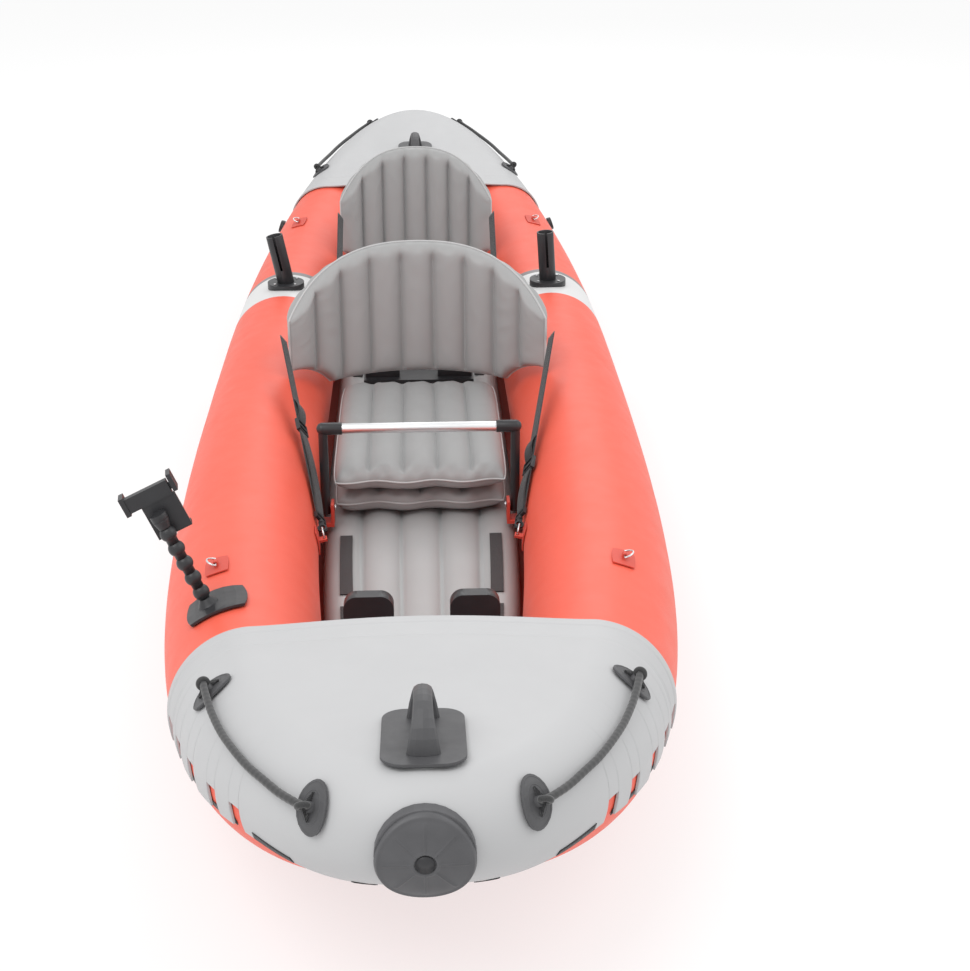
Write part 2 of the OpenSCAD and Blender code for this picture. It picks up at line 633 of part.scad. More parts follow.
module rod_screws() {
    color("silver") port_and_starboard() at_rod() for (b = [45:90:315])
        translate([screw_at * cos(b), screw_at * sin(b), rod_flange_t + gap / 3])
            cylinder(r = screw_r, h = 2);
}

// ---- Accessory bar ----
bar_r = bar_d / 2;
leg_x = bar_span / 2;
leg_top = bar_z;
elbow_reach = leg_x - bar_l / 2;
bolt_r = 3.5;
bolt_fit = 0.05;
leg_end = 12;                       // how far a leg runs below its pivot bolt
module bar_tube() {
    color("silver") translate([-leg_x + 14, bar_y, bar_z]) rotate([0, 90, 0]) difference() {
        cylinder(r = bar_r, h = bar_span - 28);
        translate([0, 0, -1]) cylinder(r = bar_r - 1.5, h = bar_span);
    }
}
module bar_leg() {
    reach = elbow_reach + bar_leg_d / 2;
    difference() {
        union() {
            translate([leg_x, bar_y, bar_pivot_z - leg_end])
                cylinder(r = bar_leg_d / 2, h = leg_top - bar_pivot_z + leg_end);
            translate([leg_x, bar_y, bar_z]) sphere(r = bar_r + 2);
            translate([bar_l / 2, bar_y, bar_z]) rotate([0, 90, 0]) cylinder(r = bar_r + 2, h = elbow_reach);
        }
        translate([0, bar_y, bar_z]) rotate([0, 90, 0]) cylinder(r = bar_r + bolt_fit, h = leg_x - 14 + gap);
        translate([leg_x - 30, bar_y, bar_pivot_z]) rotate([0, 90, 0])
            cylinder(r = bolt_r + bolt_fit, h = 60);
    }
}
module bar_leg_port() { color("#1f1f1f") bar_leg(); }
module bar_leg_starboard() { color("#1f1f1f") mirror([1, 0, 0]) bar_leg(); }
// The bolt runs through the leg into a boss on the mounting patch, which is welded to the chamber
bar_ear_x = leg_x - bar_leg_d / 2 - 1;
module bar_bolts() {
    color("silver") port_and_starboard() {
        translate([bar_ear_x - 7, bar_y, bar_pivot_z]) rotate([0, 90, 0])
            cylinder(r = bolt_r, h = leg_x + bar_leg_d / 2 - bar_ear_x + 7.5);
        translate([bar_ear_x - 10, bar_y, bar_pivot_z]) rotate([0, 90, 0]) cylinder(r = 6, h = 3);
    }
}
bar_patch_low = 96;
bar_ear_t = 6;
module bar_mount() {
    a = angle_of(bar_y);
    difference() {
        translate([bar_ear_x - bar_ear_t, bar_y - 16, bar_patch_low])
            cube([bar_ear_t, 32, bar_pivot_z - bar_patch_low + 12]);
        translate([bar_ear_x - 30, bar_y, bar_pivot_z]) rotate([0, 90, 0])
            cylinder(r = bolt_r + bolt_fit, h = 60);
    }
    translate([bar_ear_x - bar_ear_t, bar_y - 16, bar_patch_low])
        cube([axis_x(bar_y) - tube_r(bar_y) - bar_ear_x + bar_ear_t + 2, 32, 8]);
}
module bar_mounts() { color("firebrick") port_and_starboard() bar_mount(); }

// ---- Footrests ----
foot_w = foot_pad_gap + foot_pad_w + 8;
foot_depth = 70;
foot_base_h = 34;
foot_pad_t = 30;
module foot_pad() {
    r = 22;
    rotate([90, 0, 0]) linear_extrude(foot_pad_t, center = true) union() {
        translate([-foot_pad_w / 2, 0]) square([foot_pad_w, foot_pad_h - r]);
        translate([-foot_pad_w / 2 + r, 0]) square([foot_pad_w - 2 * r, foot_pad_h]);
        for (s = [-1, 1]) translate([s * (foot_pad_w / 2 - r), foot_pad_h - r]) circle(r);
    }
}
foot_lift = 3;                      // the base stands on a strip of this height, so it can slide on a curved floor
foot_strip = 24;
module footrest(y) {
    slope = atan((keel(y + 40) - keel(y - 40)) / 80);
    color("#3a3a3a") translate([0, y, keel(y) + floor_top + 3 * gap]) rotate([slope, 0, 0]) {
        translate([-foot_w / 2, -foot_strip / 2, 0]) cube([foot_w, foot_strip, foot_base_h]);
        translate([-foot_w / 2, -foot_depth / 2, foot_lift])
            cube([foot_w, foot_depth, foot_base_h - foot_lift]);
        for (s = [-1, 1]) translate([s * foot_pad_gap / 2, 0, foot_base_h / 2]) foot_pad();
    }
}
module front_footrest() { footrest(front_foot_y); }
module rear_footrest() { footrest(rear_foot_y); }
strip_w = 24;
strip_t = 2;
strip_x = floor_half(0) * (1 - 1 / floor_channels);
module hook_strip(y0, y1) {
    rows = 5;
    function at(k, s, t) = let (y = mix(y0, y1, k / rows), x = strip_x * floor_half(y) / floor_half(0))
        [x * 0.94 + s * strip_w / 2, y, floor_z(strip_x, y) + 2 * gap + t];
    shell([for (k = [0:rows]) [for (s = [1, -1]) at(k, s, strip_t)]],
        [for (k = [0:rows]) [for (s = [1, -1]) at(k, s, 0)]]);
}
module floor_hook_strips() {
    color("#222222") port_and_starboard() { hook_strip(-850, -600); hook_strip(-990, -900);
        hook_strip(300, 350); }
}

// ---- Phone arm on the starboard chamber, modelled to port and mirrored ----
arm_a = angle_of(arm_y);
arm_plate_t = 5;
mast_h = 12;
cup_r = 9;
cup_fit = 0.35;
ball_r = ball_d / 2;
module arm_frame(h) {
    mirror([1, 0, 0]) on_tube(arm_a, arm_beta, pad_r(arm_a) + h) children();
}
// The first ball is the top of the mast, and each link swivels on the ball below it
ball_0 = arm_plate_t + mast_h + ball_r - 3;
module arm_base() {
    color("#1f1f1f") {
        mirror([1, 0, 0]) tube_pad(arm_a, arm_beta + 5, 46, 50, pad_r(arm_a) + 0.5,
            pad_r(arm_a) + arm_plate_t, 0.45, 6);
        arm_frame(arm_plate_t - 1) cylinder(r1 = 17, r2 = 9, h = mast_h);
        arm_frame(ball_0) sphere(r = ball_r);
    }
}
module arm_link(i) {
    h = ball_0 + i * ball_pitch;
    color("#1f1f1f") arm_frame(h) {
        sphere(r = ball_r);
        translate([0, 0, -ball_pitch]) difference() {
            translate([0, 0, ball_pitch - ball_r - 5]) cylinder(r = cup_r, h = 9);
            sphere(r = ball_r + cup_fit);
        }
    }
}
module arm_ball_1() { arm_link(1); }
module arm_ball_2() { arm_link(2); }
module arm_ball_3() { arm_link(3); }
module arm_ball_4() { arm_link(4); }
module arm_ball_5() {
    h = ball_0 + 5 * ball_pitch;
    color("#1f1f1f") arm_frame(h) translate([0, 0, -ball_pitch]) difference() {
        translate([0, 0, ball_pitch - ball_r - 5]) cylinder(r1 = cup_r, r2 = 13, h = 16);
        sphere(r = ball_r + cup_fit);
    }
}
// The cradle swivels on the top socket. Heights are above the last ball's centre, and y runs away from the arm.
cradle_0 = ball_0 + 4 * ball_pitch;
hub_z = ball_pitch - ball_r - 5 + 16 + gap;
hub_h = 10;
plate_low = -8;
plate_y = ball_r + 1.5;
plate_t = 6;
plate_w = 56;
plate_shift = -9;
ledge = 20;
bar_h = 24;
bar_y0 = plate_y - 2;
bar_deep = 14;
bar_top = plate_low + cradle_h;
tongue_t = 5;
tongue_h = 11;
lip_t = 7;
lip_out = 14;
clamp_fit = 0.3;
module phone_cradle() {
    slot_y = bar_y0 + (bar_deep - tongue_t) / 2;
    slot_z = bar_top - (bar_h + tongue_h) / 2;
    color("#1f1f1f") arm_frame(cradle_0) {
        translate([0, 0, hub_z]) cylinder(r = 13, h = hub_h);
        translate([-8, 0, hub_z + gap]) cube([16, plate_y + 1, hub_h - gap]);
        translate([plate_shift - plate_w / 2, plate_y, plate_low])
            cube([plate_w, plate_t, cradle_h - bar_h + 1]);
        translate([plate_shift - plate_w / 2, plate_y, plate_low]) cube([plate_w, ledge, 5]);
        difference() {
            translate([-clamp_w / 2 + 3, bar_y0, bar_top - bar_h]) cube([clamp_w - 3, bar_deep, bar_h]);
            translate([-clamp_w, slot_y - clamp_fit, slot_z - clamp_fit])
                cube([clamp_w + clamp_w / 4, tongue_t + 2 * clamp_fit, tongue_h + 2 * clamp_fit]);
        }
        translate([clamp_w / 2 - 0.5, bar_y0 - 2, bar_top - bar_h - 3])
            cube([lip_t + 0.5, bar_deep + lip_out + 2, bar_h + 7]);
    }
}
// The sliding jaw has a tongue that runs in the clamp bar
module cradle_jaw() {
    slot_y = bar_y0 + (bar_deep - tongue_t) / 2;
    slot_z = bar_top - (bar_h + tongue_h) / 2;
    color("#1f1f1f") arm_frame(cradle_0) {
        translate([-clamp_w / 2 - 1, slot_y, slot_z]) cube([clamp_w / 2 + 1, tongue_t, tongue_h]);
        translate([-clamp_w / 2 - lip_t, bar_y0 - 2, bar_top - bar_h + 2])
            cube([lip_t, bar_deep + lip_out + 4, bar_h + 5]);
    }
}

// ---- Lashing rings ----
ring_beta = 74;
sleeve_r = 4;
sleeve_l = 12;
ring_lift = sleeve_r + 3;
ring_tilt = 35;                     // rest angle of a ring above its patch
ring_patch_t = 2;
module at_ring(end) {
    a = end * angle_of(ring_y);
    on_tube(a, ring_beta, pad_r(a) + ring_lift) children();
}
module ring(end) {
    bar = ring_r + ring_wire / 2;
    color("silver") at_ring(end) rotate([0, -ring_tilt, 0]) {
        rotate([90, 0, 0]) cylinder(r = ring_wire / 2, h = 2 * bar + ring_wire, center = true);
        rotate([0, 0, -90]) translate([0, 0, 0]) rotate_extrude(angle = 180) translate([bar, 0])
            circle(r = ring_wire / 2);
    }
}
module ring_patch(end) {
    a = end * angle_of(ring_y);
    tube_pad(a, ring_beta, 32, 20, pad_r(a), pad_r(a) + ring_patch_t, 0.3);
    at_ring(end) difference() {
        union() {
            rotate([90, 0, 0]) cylinder(r = sleeve_r, h = sleeve_l, center = true);
            translate([-sleeve_r, -sleeve_l / 2, -ring_lift + ring_patch_t / 2])
                cube([2 * sleeve_r, sleeve_l, ring_lift - ring_patch_t / 2]);
        }
        rotate([90, 0, 0]) cylinder(r = ring_wire / 2 + 0.4, h = 3 * sleeve_l, center = true);
    }
}
// A patch with an eye for each seat's anchor ring
module anchor_patch(seat_y) {
    a = anchor_a(seat_y);
    tube_pad(a, anchor_b, 19, 24, pad_r(a), pad_r(a) + ring_patch_t, 0.3);
    on_line(seat_y, 0, ring_n(seat_y)) difference() {
        translate([-3, -5, 1 - eye_lift]) cube([6, 10, eye_lift + 4]);
        rotate([0, 90, 0]) cylinder(r = anchor_wire / 2 + 0.8, h = 30, center = true);
    }
}
module ring_patches() {
    color("firebrick") port_and_starboard() {
        ring_patch(-1);
        ring_patch(1);
        anchor_patch(front_seat_y);
        anchor_patch(rear_seat_y);
    }
}
module ring_bow_port() { ring(-1); }
module ring_bow_starboard() { mirror([1, 0, 0]) ring(-1); }
module ring_stern_port() { ring(1); }
module ring_stern_starboard() { mirror([1, 0, 0]) ring(1); }

// ---- Air valves ----
valve_y = 1250;
valve_beta = 18;
valve_h = 7;
floor_valve_y = 330;
cap_t = 4;
hinge_r = 2;
module valve_body() {
    difference() {
        cylinder(r = valve_r, h = valve_h);
        translate([0, 0, 2]) cylinder(r = valve_r - 6, h = valve_h);
    }
    for (s = [-1, 1]) translate([0, valve_r + 3, valve_h + cap_t / 2 + gap]) rotate([0, 90, 0])
        translate([0, 0, s * 6 - 1.5]) difference() {
            union() {
                cylinder(r = 3.5, h = 3);
                translate([0, -4.2, 0]) cube([valve_h, 6, 3]);
            }
            translate([0, 0, -1]) cylinder(r = hinge_r + 0.05, h = 5);
        }
}
module valve_cap() {
    translate([0, 0, valve_h + gap]) cylinder(r = valve_r - 1, h = cap_t);
    translate([0, 0, valve_h - 3]) cylinder(r = valve_r - 6.8, h = 4);
    translate([0, valve_r + 3, valve_h + cap_t / 2 + gap]) rotate([0, 90, 0])
        cylinder(r = hinge_r, h = 15, center = true);
    translate([-4, valve_r - 3, valve_h + gap]) cube([8, 7, cap_t]);
}
module on_valve() {
    a = angle_of(valve_y);
    on_tube(a, valve_beta, pad_r(a) + 0.6) children();
}
module on_floor_valve() {
    on_frame([0, floor_valve_y, floor_z(0, floor_valve_y) + gap], [0, 0, 1], [0, 1, 0]) children();
}
module valve_bodies() {
    color("#333333") {
        port_and_starboard() on_valve() valve_body();
        on_floor_valve() valve_body();
    }
}
module valve_cap_port() { color("#222222") on_valve() valve_cap(); }
module valve_cap_starboard() { color("#222222") mirror([1, 0, 0]) on_valve() valve_cap(); }
module valve_cap_floor() { color("#222222") on_floor_valve() valve_cap(); }

// ---- Skeg ----
skeg_y = 1500;
rail_l = skeg_l - 20;
skeg_t = 5;
foot_fit = 0.5;
foot_half = 11;
foot_t = 4;
rail_wall = 4;
module on_keel() {
    a = angle_of(skeg_y);
    p = bottom_pt(a, 0);
    t = unit(bottom_pt(a + 2, 0) - bottom_pt(a - 2, 0));
    slope = unit([0, t.y, t.z]);
    on_frame([0, p.y, p.z] - cross([1, 0, 0], slope) * 2 * gap, -cross([1, 0, 0], slope), slope) children();
}
// The skeg's foot is held between the rail's two lips
module skeg_rail() {
    h = foot_t + 2 * foot_fit;
    color("#222222") on_keel() {
        translate([-foot_half - foot_fit - rail_wall, -rail_l / 2, 0])
            cube([2 * (foot_half + foot_fit + rail_wall), rail_l, 3]);
        for (s = [-1, 1]) translate([s * (foot_half + foot_fit + rail_wall / 2) - rail_wall / 2, -rail_l / 2, 2]) cube([rail_wall, rail_l, h + 4]);
        for (s = [-1, 1]) translate([s * (foot_half / 2 + skeg_t / 2 + 1 + rail_wall / 2 + foot_fit) - foot_half / 2 - 1, -rail_l / 2, 3 + h])
            cube([foot_half - 1, rail_l, 3]);
    }
}
module skeg() {
    color("#2b2b2b") on_keel() translate([0, 0, 3 + foot_fit]) {
        translate([-foot_half, -rail_l / 2, 0]) cube([2 * foot_half, rail_l, foot_t]);
        translate([-skeg_t / 2, 0, 0]) rotate([90, 0, 90]) linear_extrude(skeg_t)
            polygon([[-rail_l / 2, 1], [rail_l / 2, 1], [rail_l / 2 + 10, skeg_depth],
                [rail_l / 2 - 40, skeg_depth]]);
    }
}

chamber_port();
chamber_starboard();
hull_bottom();
floor_chamber();
bow_cover();
stern_cover();
bow_bumper();
stern_bumper();
handle_patches();
bow_handle();
stern_handle();
rope_patches_bow();
rope_patches_stern();
grab_line_bow_port();
grab_line_bow_starboard();
grab_line_stern_port();
grab_line_stern_starboard();
front_seat_base();
front_seat_cushion();
front_backrest();
rear_seat_base();
rear_seat_cushion();
rear_backrest();
front_seat_straps();
rear_seat_straps();
strap_buckles();
snap_hooks();
seat_rings();
rod_bases();
rod_tube_port();
rod_tube_starboard();
rod_screws();
bar_mounts();
bar_bolts();
bar_leg_port();
bar_leg_starboard();
bar_tube();
front_footrest();
rear_footrest();
floor_hook_strips();
arm_base();
arm_ball_1();
arm_ball_2();
arm_ball_3();
arm_ball_4();
arm_ball_5();
phone_cradle();
cradle_jaw();
ring_patches();
ring_bow_port();
ring_bow_starboard();
ring_stern_port();
ring_stern_starboard();
valve_bodies();
valve_cap_port();
valve_cap_starboard();
valve_cap_floor();
skeg_rail();
skeg();
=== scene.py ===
"""The looks of an inflatable kayak for two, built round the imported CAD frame.

Metres, +Y towards the stern, +Z up, +X to port, the origin on the ground under the middle of the hull.
"""

import math

import bmesh
import bpy
import numpy as np
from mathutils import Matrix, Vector, noise


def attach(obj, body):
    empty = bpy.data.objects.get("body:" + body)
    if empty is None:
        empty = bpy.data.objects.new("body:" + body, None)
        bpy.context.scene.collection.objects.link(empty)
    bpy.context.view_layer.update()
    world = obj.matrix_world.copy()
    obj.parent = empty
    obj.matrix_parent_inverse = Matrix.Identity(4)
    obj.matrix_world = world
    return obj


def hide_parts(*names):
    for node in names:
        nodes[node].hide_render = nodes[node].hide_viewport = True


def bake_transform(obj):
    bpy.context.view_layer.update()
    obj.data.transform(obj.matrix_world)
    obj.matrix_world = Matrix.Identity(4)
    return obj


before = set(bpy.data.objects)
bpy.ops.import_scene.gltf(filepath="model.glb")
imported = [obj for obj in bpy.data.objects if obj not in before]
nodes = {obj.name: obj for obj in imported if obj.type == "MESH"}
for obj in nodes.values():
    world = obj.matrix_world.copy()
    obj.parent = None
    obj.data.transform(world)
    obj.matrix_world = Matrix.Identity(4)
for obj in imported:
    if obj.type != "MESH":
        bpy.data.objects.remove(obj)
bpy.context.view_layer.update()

# ---- Sizes that follow the CAD hull ----
HULL_L = 3.84
HULL_W = 0.94
TUBE_D = 0.264
TIP_D = 0.14
TIP_INNER_R = 0.018
BOW_RISE = 0.242
STERN_RISE = 0.3
FLAT_L = 0.9
RISE_POWER = 3.3
TAPER_POWER = 4
SEAM_GAP = 0.0004
COVER_GAP = 0.0012
COVER_T = 0.003
COVER_L = 0.562
COVER_CROWN = 0.016
BUMPER_T = 0.008
FACET = math.radians(15)                    # a flat of the CAD chamber
AXIS_L = (HULL_L - TIP_D) / 2 - (COVER_GAP + COVER_T + 0.002) - BUMPER_T
AXIS_W = (HULL_W - TUBE_D) / 2
FULLNESS = 2 * AXIS_L * (TIP_D / 2 + TIP_INNER_R) / AXIS_W ** 2
FLOOR_TOP = 0.09
FLOOR_L = 2.6
FLOOR_W = 0.4
FLOOR_CHANNELS = 5
SEAT_W = 0.352
SEAT_L = 0.52
SEAT_BASE_T = 0.06
SEAT_CUSHION_T = 0.058
SEAT_GAP = 0.0003
SEATS = {"front": -0.02, "rear": 0.905}     # the back edge of each seat
BACK_R = 0.32
BACK_HALF_ANGLE = {SEATS["front"]: 60, SEATS["rear"]: 40}
BACK_T = 0.052
BACK_H = 0.3
BACK_EDGE_H = 0.172
BACK_LEAN = math.radians(5)
ROPE_D = 0.011
ROPE_BOW = [(303, -1512, 315), (295, -1545, 315), (283, -1587, 315), (265, -1639, 318), (244, -1689, 324),
            (221, -1736, 330), (198, -1775, 336), (177, -1809, 341), (158, -1836, 347), (144, -1853, 351)]
ROPE_STERN = [(305, 1506, 338), (297, 1539, 339), (285, 1581, 343), (267, 1633, 350), (247, 1684, 360),
              (223, 1731, 371), (201, 1771, 380), (180, 1805, 389), (160, 1833, 397), (147, 1850, 403)]
MM = 0.001


# ---- Hull shape, as functions of the centreline angle a: -90 at the bow, 90 at the stern ----
def mix(a, b, t):
    return a + (b - a) * t


def smooth(t):
    t = min(1.0, max(0.0, t))
    return t * t * (3 - 2 * t)


def unit(v):
    return v / np.linalg.norm(v)


def rise_share(y):
    return max(0.0, abs(y) - FLAT_L / 2) / (AXIS_L - FLAT_L / 2)


def keel(y):
    return (BOW_RISE if y < 0 else STERN_RISE) * rise_share(y) ** RISE_POWER


def tube_r(y):
    return mix(TUBE_D, TIP_D, rise_share(y) ** TAPER_POWER) / 2


def axis_x(y):
    full = math.sqrt(max(0.0, 1 - (abs(y) / AXIS_L) ** FULLNESS))
    return mix(SEAM_GAP / 2, AXIS_W, full)


def axis_pt(a):
    y = AXIS_L * math.sin(math.radians(a))
    return np.array([axis_x(y), y, keel(y) + tube_r(y)])


def along(a):
    if abs(a) >= 90:
        return np.array([-math.copysign(1, a), 0.0, 0.0])
    return unit(axis_pt(min(90, a + 0.5)) - axis_pt(max(-90, a - 0.5)))


def normal_at(a, b):
    t = along(a)
    out = unit(np.array([t[1], -t[0], 0.0]))
    up = np.cross(out, t)
    return math.cos(math.radians(b)) * out + math.sin(math.radians(b)) * up


def tube_pt(a, b, r):
    return axis_pt(a) + r * normal_at(a, b)


def angle_of(y):
    return math.degrees(math.asin(y / AXIS_L))


def corner_r(a):
    return tube_r(AXIS_L * math.sin(math.radians(a))) / math.cos(FACET / 2)


def tube_top_z(x, y):
    r = corner_r(angle_of(y))
    d = abs(abs(x) - axis_x(y))
    return keel(y) + tube_r(y) + (math.sqrt(r * r - d * d) if d < r else 0)


def flip(p, side):
    return np.array([p[0] * side, p[1], p[2]])


# ---- Mesh helpers ----
def mesh_object(name, points, faces, material):
    mesh = bpy.data.meshes.new(name)
    mesh.from_pydata([tuple(p) for p in points], [], faces)
    mesh.validate()
    obj = bpy.data.objects.new(name, mesh)
    bpy.context.scene.collection.objects.link(obj)
    mesh.materials.append(material)
    for p in mesh.polygons:
        p.use_smooth = True
    return obj


def recalc(obj):
    bm = bmesh.new()
    bm.from_mesh(obj.data)
    bmesh.ops.remove_doubles(bm, verts=bm.verts, dist=1e-6)
    bmesh.ops.recalc_face_normals(bm, faces=bm.faces)
    bm.to_mesh(obj.data)
    bm.free()
    return obj


def ring_faces(rows, cols, closed=True, first=0):
    faces = []
    for k in range(rows - 1):
        for i in range(cols if closed else cols - 1):
            j = (i + 1) % cols
            a, b = first + k * cols, first + (k + 1) * cols
            faces.append((a + i, a + j, b + j, b + i))
    return faces


def loft(name, rings, material, caps=True):
    cols = len(rings[0])
    points = [p for r in rings for p in r]
    faces = ring_faces(len(rings), cols)
    if caps:
        faces.append(tuple(range(cols - 1, -1, -1)))
        faces.append(tuple(range((len(rings) - 1) * cols, len(rings) * cols)))
    return recalc(mesh_object(name, points, faces, material))


def sweep(name, route, radius, material, sides=12, closed=False):
    """A tube along a route; radius is a number or a function of (share along, angle)."""
    route = [np.array(p, float) for p in route]
    n = len(route)
    rings, u = [], None
    for k, p in enumerate(route):
        before = route[(k - 1) % n] if closed else route[max(0, k - 1)]
        after = route[(k + 1) % n] if closed else route[min(n - 1, k + 1)]
        t = unit(after - before)
        if u is None:
            u = unit(np.cross(t, [0.13, 0.07, 1.0]))
        u = unit(u - t * (u @ t))
        v = np.cross(u, t)
        ring = []
        for i in range(sides):
            b = 2 * math.pi * i / sides
            r = radius(k / (n - 1), b) if callable(radius) else radius
            ring.append(p + r * (math.cos(b) * u + math.sin(b) * v))
        rings.append(ring)
    if closed:
        rings.append(rings[0])
    return loft(name, rings, material, caps=not closed)


def resample(route, step):
    """Points at equal steps along a smooth curve through the route."""
    route = [np.array(p, float) for p in route]
    fine = []
    for k in range(len(route) - 1):
        p0, p1, p2, p3 = (route[min(len(route) - 1, max(0, k + d))] for d in (-1, 0, 1, 2))
        for s in range(24):
            t = s / 24
            fine.append(0.5 * (2 * p1 + (p2 - p0) * t + (2 * p0 - 5 * p1 + 4 * p2 - p3) * t ** 2
                               + (3 * p1 - p0 - 3 * p2 + p3) * t ** 3))
    fine.append(route[-1])
    lengths = np.cumsum([0] + [np.linalg.norm(b - a) for a, b in zip(fine, fine[1:])])
    count = max(2, int(round(lengths[-1] / step)))
    at = np.linspace(0, lengths[-1], count + 1)
    even = [np.array([np.interp(s, lengths, [p[c] for p in fine]) for c in range(3)]) for s in at]
    return even, lengths[-1]


# ---- Materials ----
def shader_material(name, colour, roughness, specular=0.5, metallic=0.0, sheen=0.0):
    m = bpy.data.materials.new(name)
    m.use_nodes = True
    s = m.node_tree.nodes["Principled BSDF"]
    s.inputs["Base Color"].default_value = (*colour, 1)
    s.inputs["Roughness"].default_value = roughness
    s.inputs["Specular IOR Level"].default_value = specular
    s.inputs["Metallic"].default_value = metallic
    s.inputs["Sheen Weight"].default_value = sheen
    return m, s


class Graph:
    """Short calls for a material's nodes."""

    def __init__(self, material, shader):
        self.tree, self.shader = material.node_tree, shader
        self.where = self.add("ShaderNodeTexCoord").outputs["Object"]

    def add(self, kind, **values):
        n = self.tree.nodes.new(kind)
        for k, v in values.items():
            setattr(n, k, v)
        return n

    def link(self, a, b):
        self.tree.links.new(a, b)

    def noise(self, scale, detail=3.0, where=None):
        n = self.add("ShaderNodeTexNoise")
        n.inputs["Scale"].default_value = scale
        n.inputs["Detail"].default_value = detail
        self.link(where or self.where, n.inputs["Vector"])
        return n.outputs["Fac"]

    def math(self, operation, a, b=0.0, c=None):
        n = self.add("ShaderNodeMath", operation=operation)
        for i, v in enumerate((a, b) if c is None else (a, b, c)):
            if isinstance(v, (int, float)):
                n.inputs[i].default_value = v
            else:
                self.link(v, n.inputs[i])
        return n.outputs[0]

    def axes(self):
        n = self.add("ShaderNodeSeparateXYZ")
        self.link(self.where, n.inputs[0])
        return n.outputs

    def band(self, value, low, high, edge):
        """1 where value lies between low and high, with soft edges."""
        up = self.add("ShaderNodeMapRange", interpolation_type="SMOOTHSTEP")
        down = self.add("ShaderNodeMapRange", interpolation_type="SMOOTHSTEP")
        for n, a, b in ((up, low - edge, low + edge), (down, high + edge, high - edge)):
            n.inputs["From Min"].default_value = a
            n.inputs["From Max"].default_value = b
            self.link(value, n.inputs["Value"])
        return self.math("MULTIPLY", up.outputs[0], down.outputs[0])

    def mix_colour(self, fac, a, b):
        n = self.add("ShaderNodeMix", data_type="RGBA")
        for i, v in ((0, fac), (6, a), (7, b)):
            if isinstance(v, tuple):
                n.inputs[i].default_value = (*v, 1)
            elif isinstance(v, (int, float)):
                n.inputs[i].default_value = v
            else:
                self.link(v, n.inputs[i])
        return n.outputs[2]

    def bump(self, height, strength, distance):
        n = self.add("ShaderNodeBump")
        n.inputs["Strength"].default_value = strength
        n.inputs["Distance"].default_value = distance
        self.link(height, n.inputs["Height"])
        self.link(n.outputs["Normal"], self.shader.inputs["Normal"])

    def weave(self, per_metre):
        """Crossed threads, from waves along two slanting directions."""
        x, y, z = self.axes()
        one = self.math("ADD", self.math("MULTIPLY", x, per_metre), self.math("MULTIPLY", z, per_metre))
        two = self.math("ADD", self.math("MULTIPLY", y, per_metre), self.math("MULTIPLY", z, -per_metre))
        return self.math("MULTIPLY", self.math("SINE", one), self.math("SINE", two))

    def roughness(self, fac, low, high):
        n = self.add("ShaderNodeMapRange")
        n.inputs["To Min"].default_value = low
        n.inputs["To Max"].default_value = high
        self.link(fac, n.inputs["Value"])
        self.link(n.outputs[0], self.shader.inputs["Roughness"])


def coated_fabric(name, colour, roughness=0.5, variation=0.08, threads=4200, weave_mm=0.05, specular=0.35):
    """PVC-coated or laminated cloth: a faint weave under a soft, uneven gloss."""
    m, s = shader_material(name, colour, roughness, specular)
    g = Graph(m, s)
    cloudy = g.noise(5.5, 4)
    dark = tuple(c * (1 - variation) for c in colour)
    light = tuple(min(1, c * (1 + variation)) for c in colour)
    g.link(g.mix_colour(cloudy, dark, light), s.inputs["Base Color"])
    g.roughness(g.noise(23, 3), roughness - 0.08, roughness + 0.1)
    soft = g.math("MULTIPLY", g.noise(14, 2), 6)
    g.bump(g.math("ADD", g.weave(threads), soft), 0.35, weave_mm * MM)
    return m, s, g


def hull_material():
    """Tomato-red coated fabric with a pale band at the rod holders and plain stripes on the outer sides."""
    red = (0.80, 0.115, 0.070)
    m, s, g = coated_fabric("hull_fabric_look", red, 0.46, 0.05)
    base = s.inputs["Base Color"].links[0].from_socket
    x, y, z = g.axes()
    reach = g.math("ABSOLUTE", x)
    pale_band = g.band(y, 0.415, 0.622, 0.0012)
    dark_band = g.band(y, 0.598, 0.622, 0.0012)
    side = g.math("MULTIPLY", g.band(y, -0.62, 1.02, 0.002), g.band(reach, 0.445, 0.6, 0.0015))
    dark_stripe = g.math("MULTIPLY", side, g.band(z, 0.118, 0.150, 0.0015))
    pale_stripe = g.math("MULTIPLY", side, g.band(z, 0.155, 0.178, 0.0015))
    colour = g.mix_colour(pale_stripe, base, (0.62, 0.62, 0.62))
    colour = g.mix_colour(dark_stripe, colour, (0.16, 0.16, 0.17))
    colour = g.mix_colour(pale_band, colour, (0.66, 0.66, 0.66))
    colour = g.mix_colour(dark_band, colour, (0.22, 0.21, 0.21))
    g.link(colour, s.inputs["Base Color"])
    return m


def moulded(name, colour, roughness, bump_mm=0.05, grain=900, specular=0.45):
    """Moulded plastic or rubber with a fine grain and lighter worn patches spread at random."""
    m, s = shader_material(name, colour, roughness, specular)
    g = Graph(m, s)
    worn = tuple(min(1, c * 1.5 + 0.006) for c in colour)
    g.link(g.mix_colour(g.noise(31, 4), colour, worn), s.inputs["Base Color"])
    g.roughness(g.noise(60, 3), roughness - 0.09, roughness + 0.1)
    g.bump(g.noise(grain, 2), 0.4, bump_mm * MM)
    return m


def metal(name, colour, roughness, streaks):
    """Drawn or brushed metal: fine lines along X in its gloss."""
    m, s = shader_material(name, colour, roughness, 0.5, 1.0)
    g = Graph(m, s)
    stretch = g.add("ShaderNodeMapping")
    stretch.inputs["Scale"].default_value = (0.02, 1, 1)
    g.link(g.where, stretch.inputs["Vector"])
    lines = g.noise(streaks, 4, stretch.outputs[0])
    g.link(g.mix_colour(lines, tuple(c * 0.9 for c in colour), colour), s.inputs["Base Color"])
    g.roughness(lines, roughness - 0.06, roughness + 0.1)
    g.bump(lines, 0.2, 0.03 * MM)
    return m


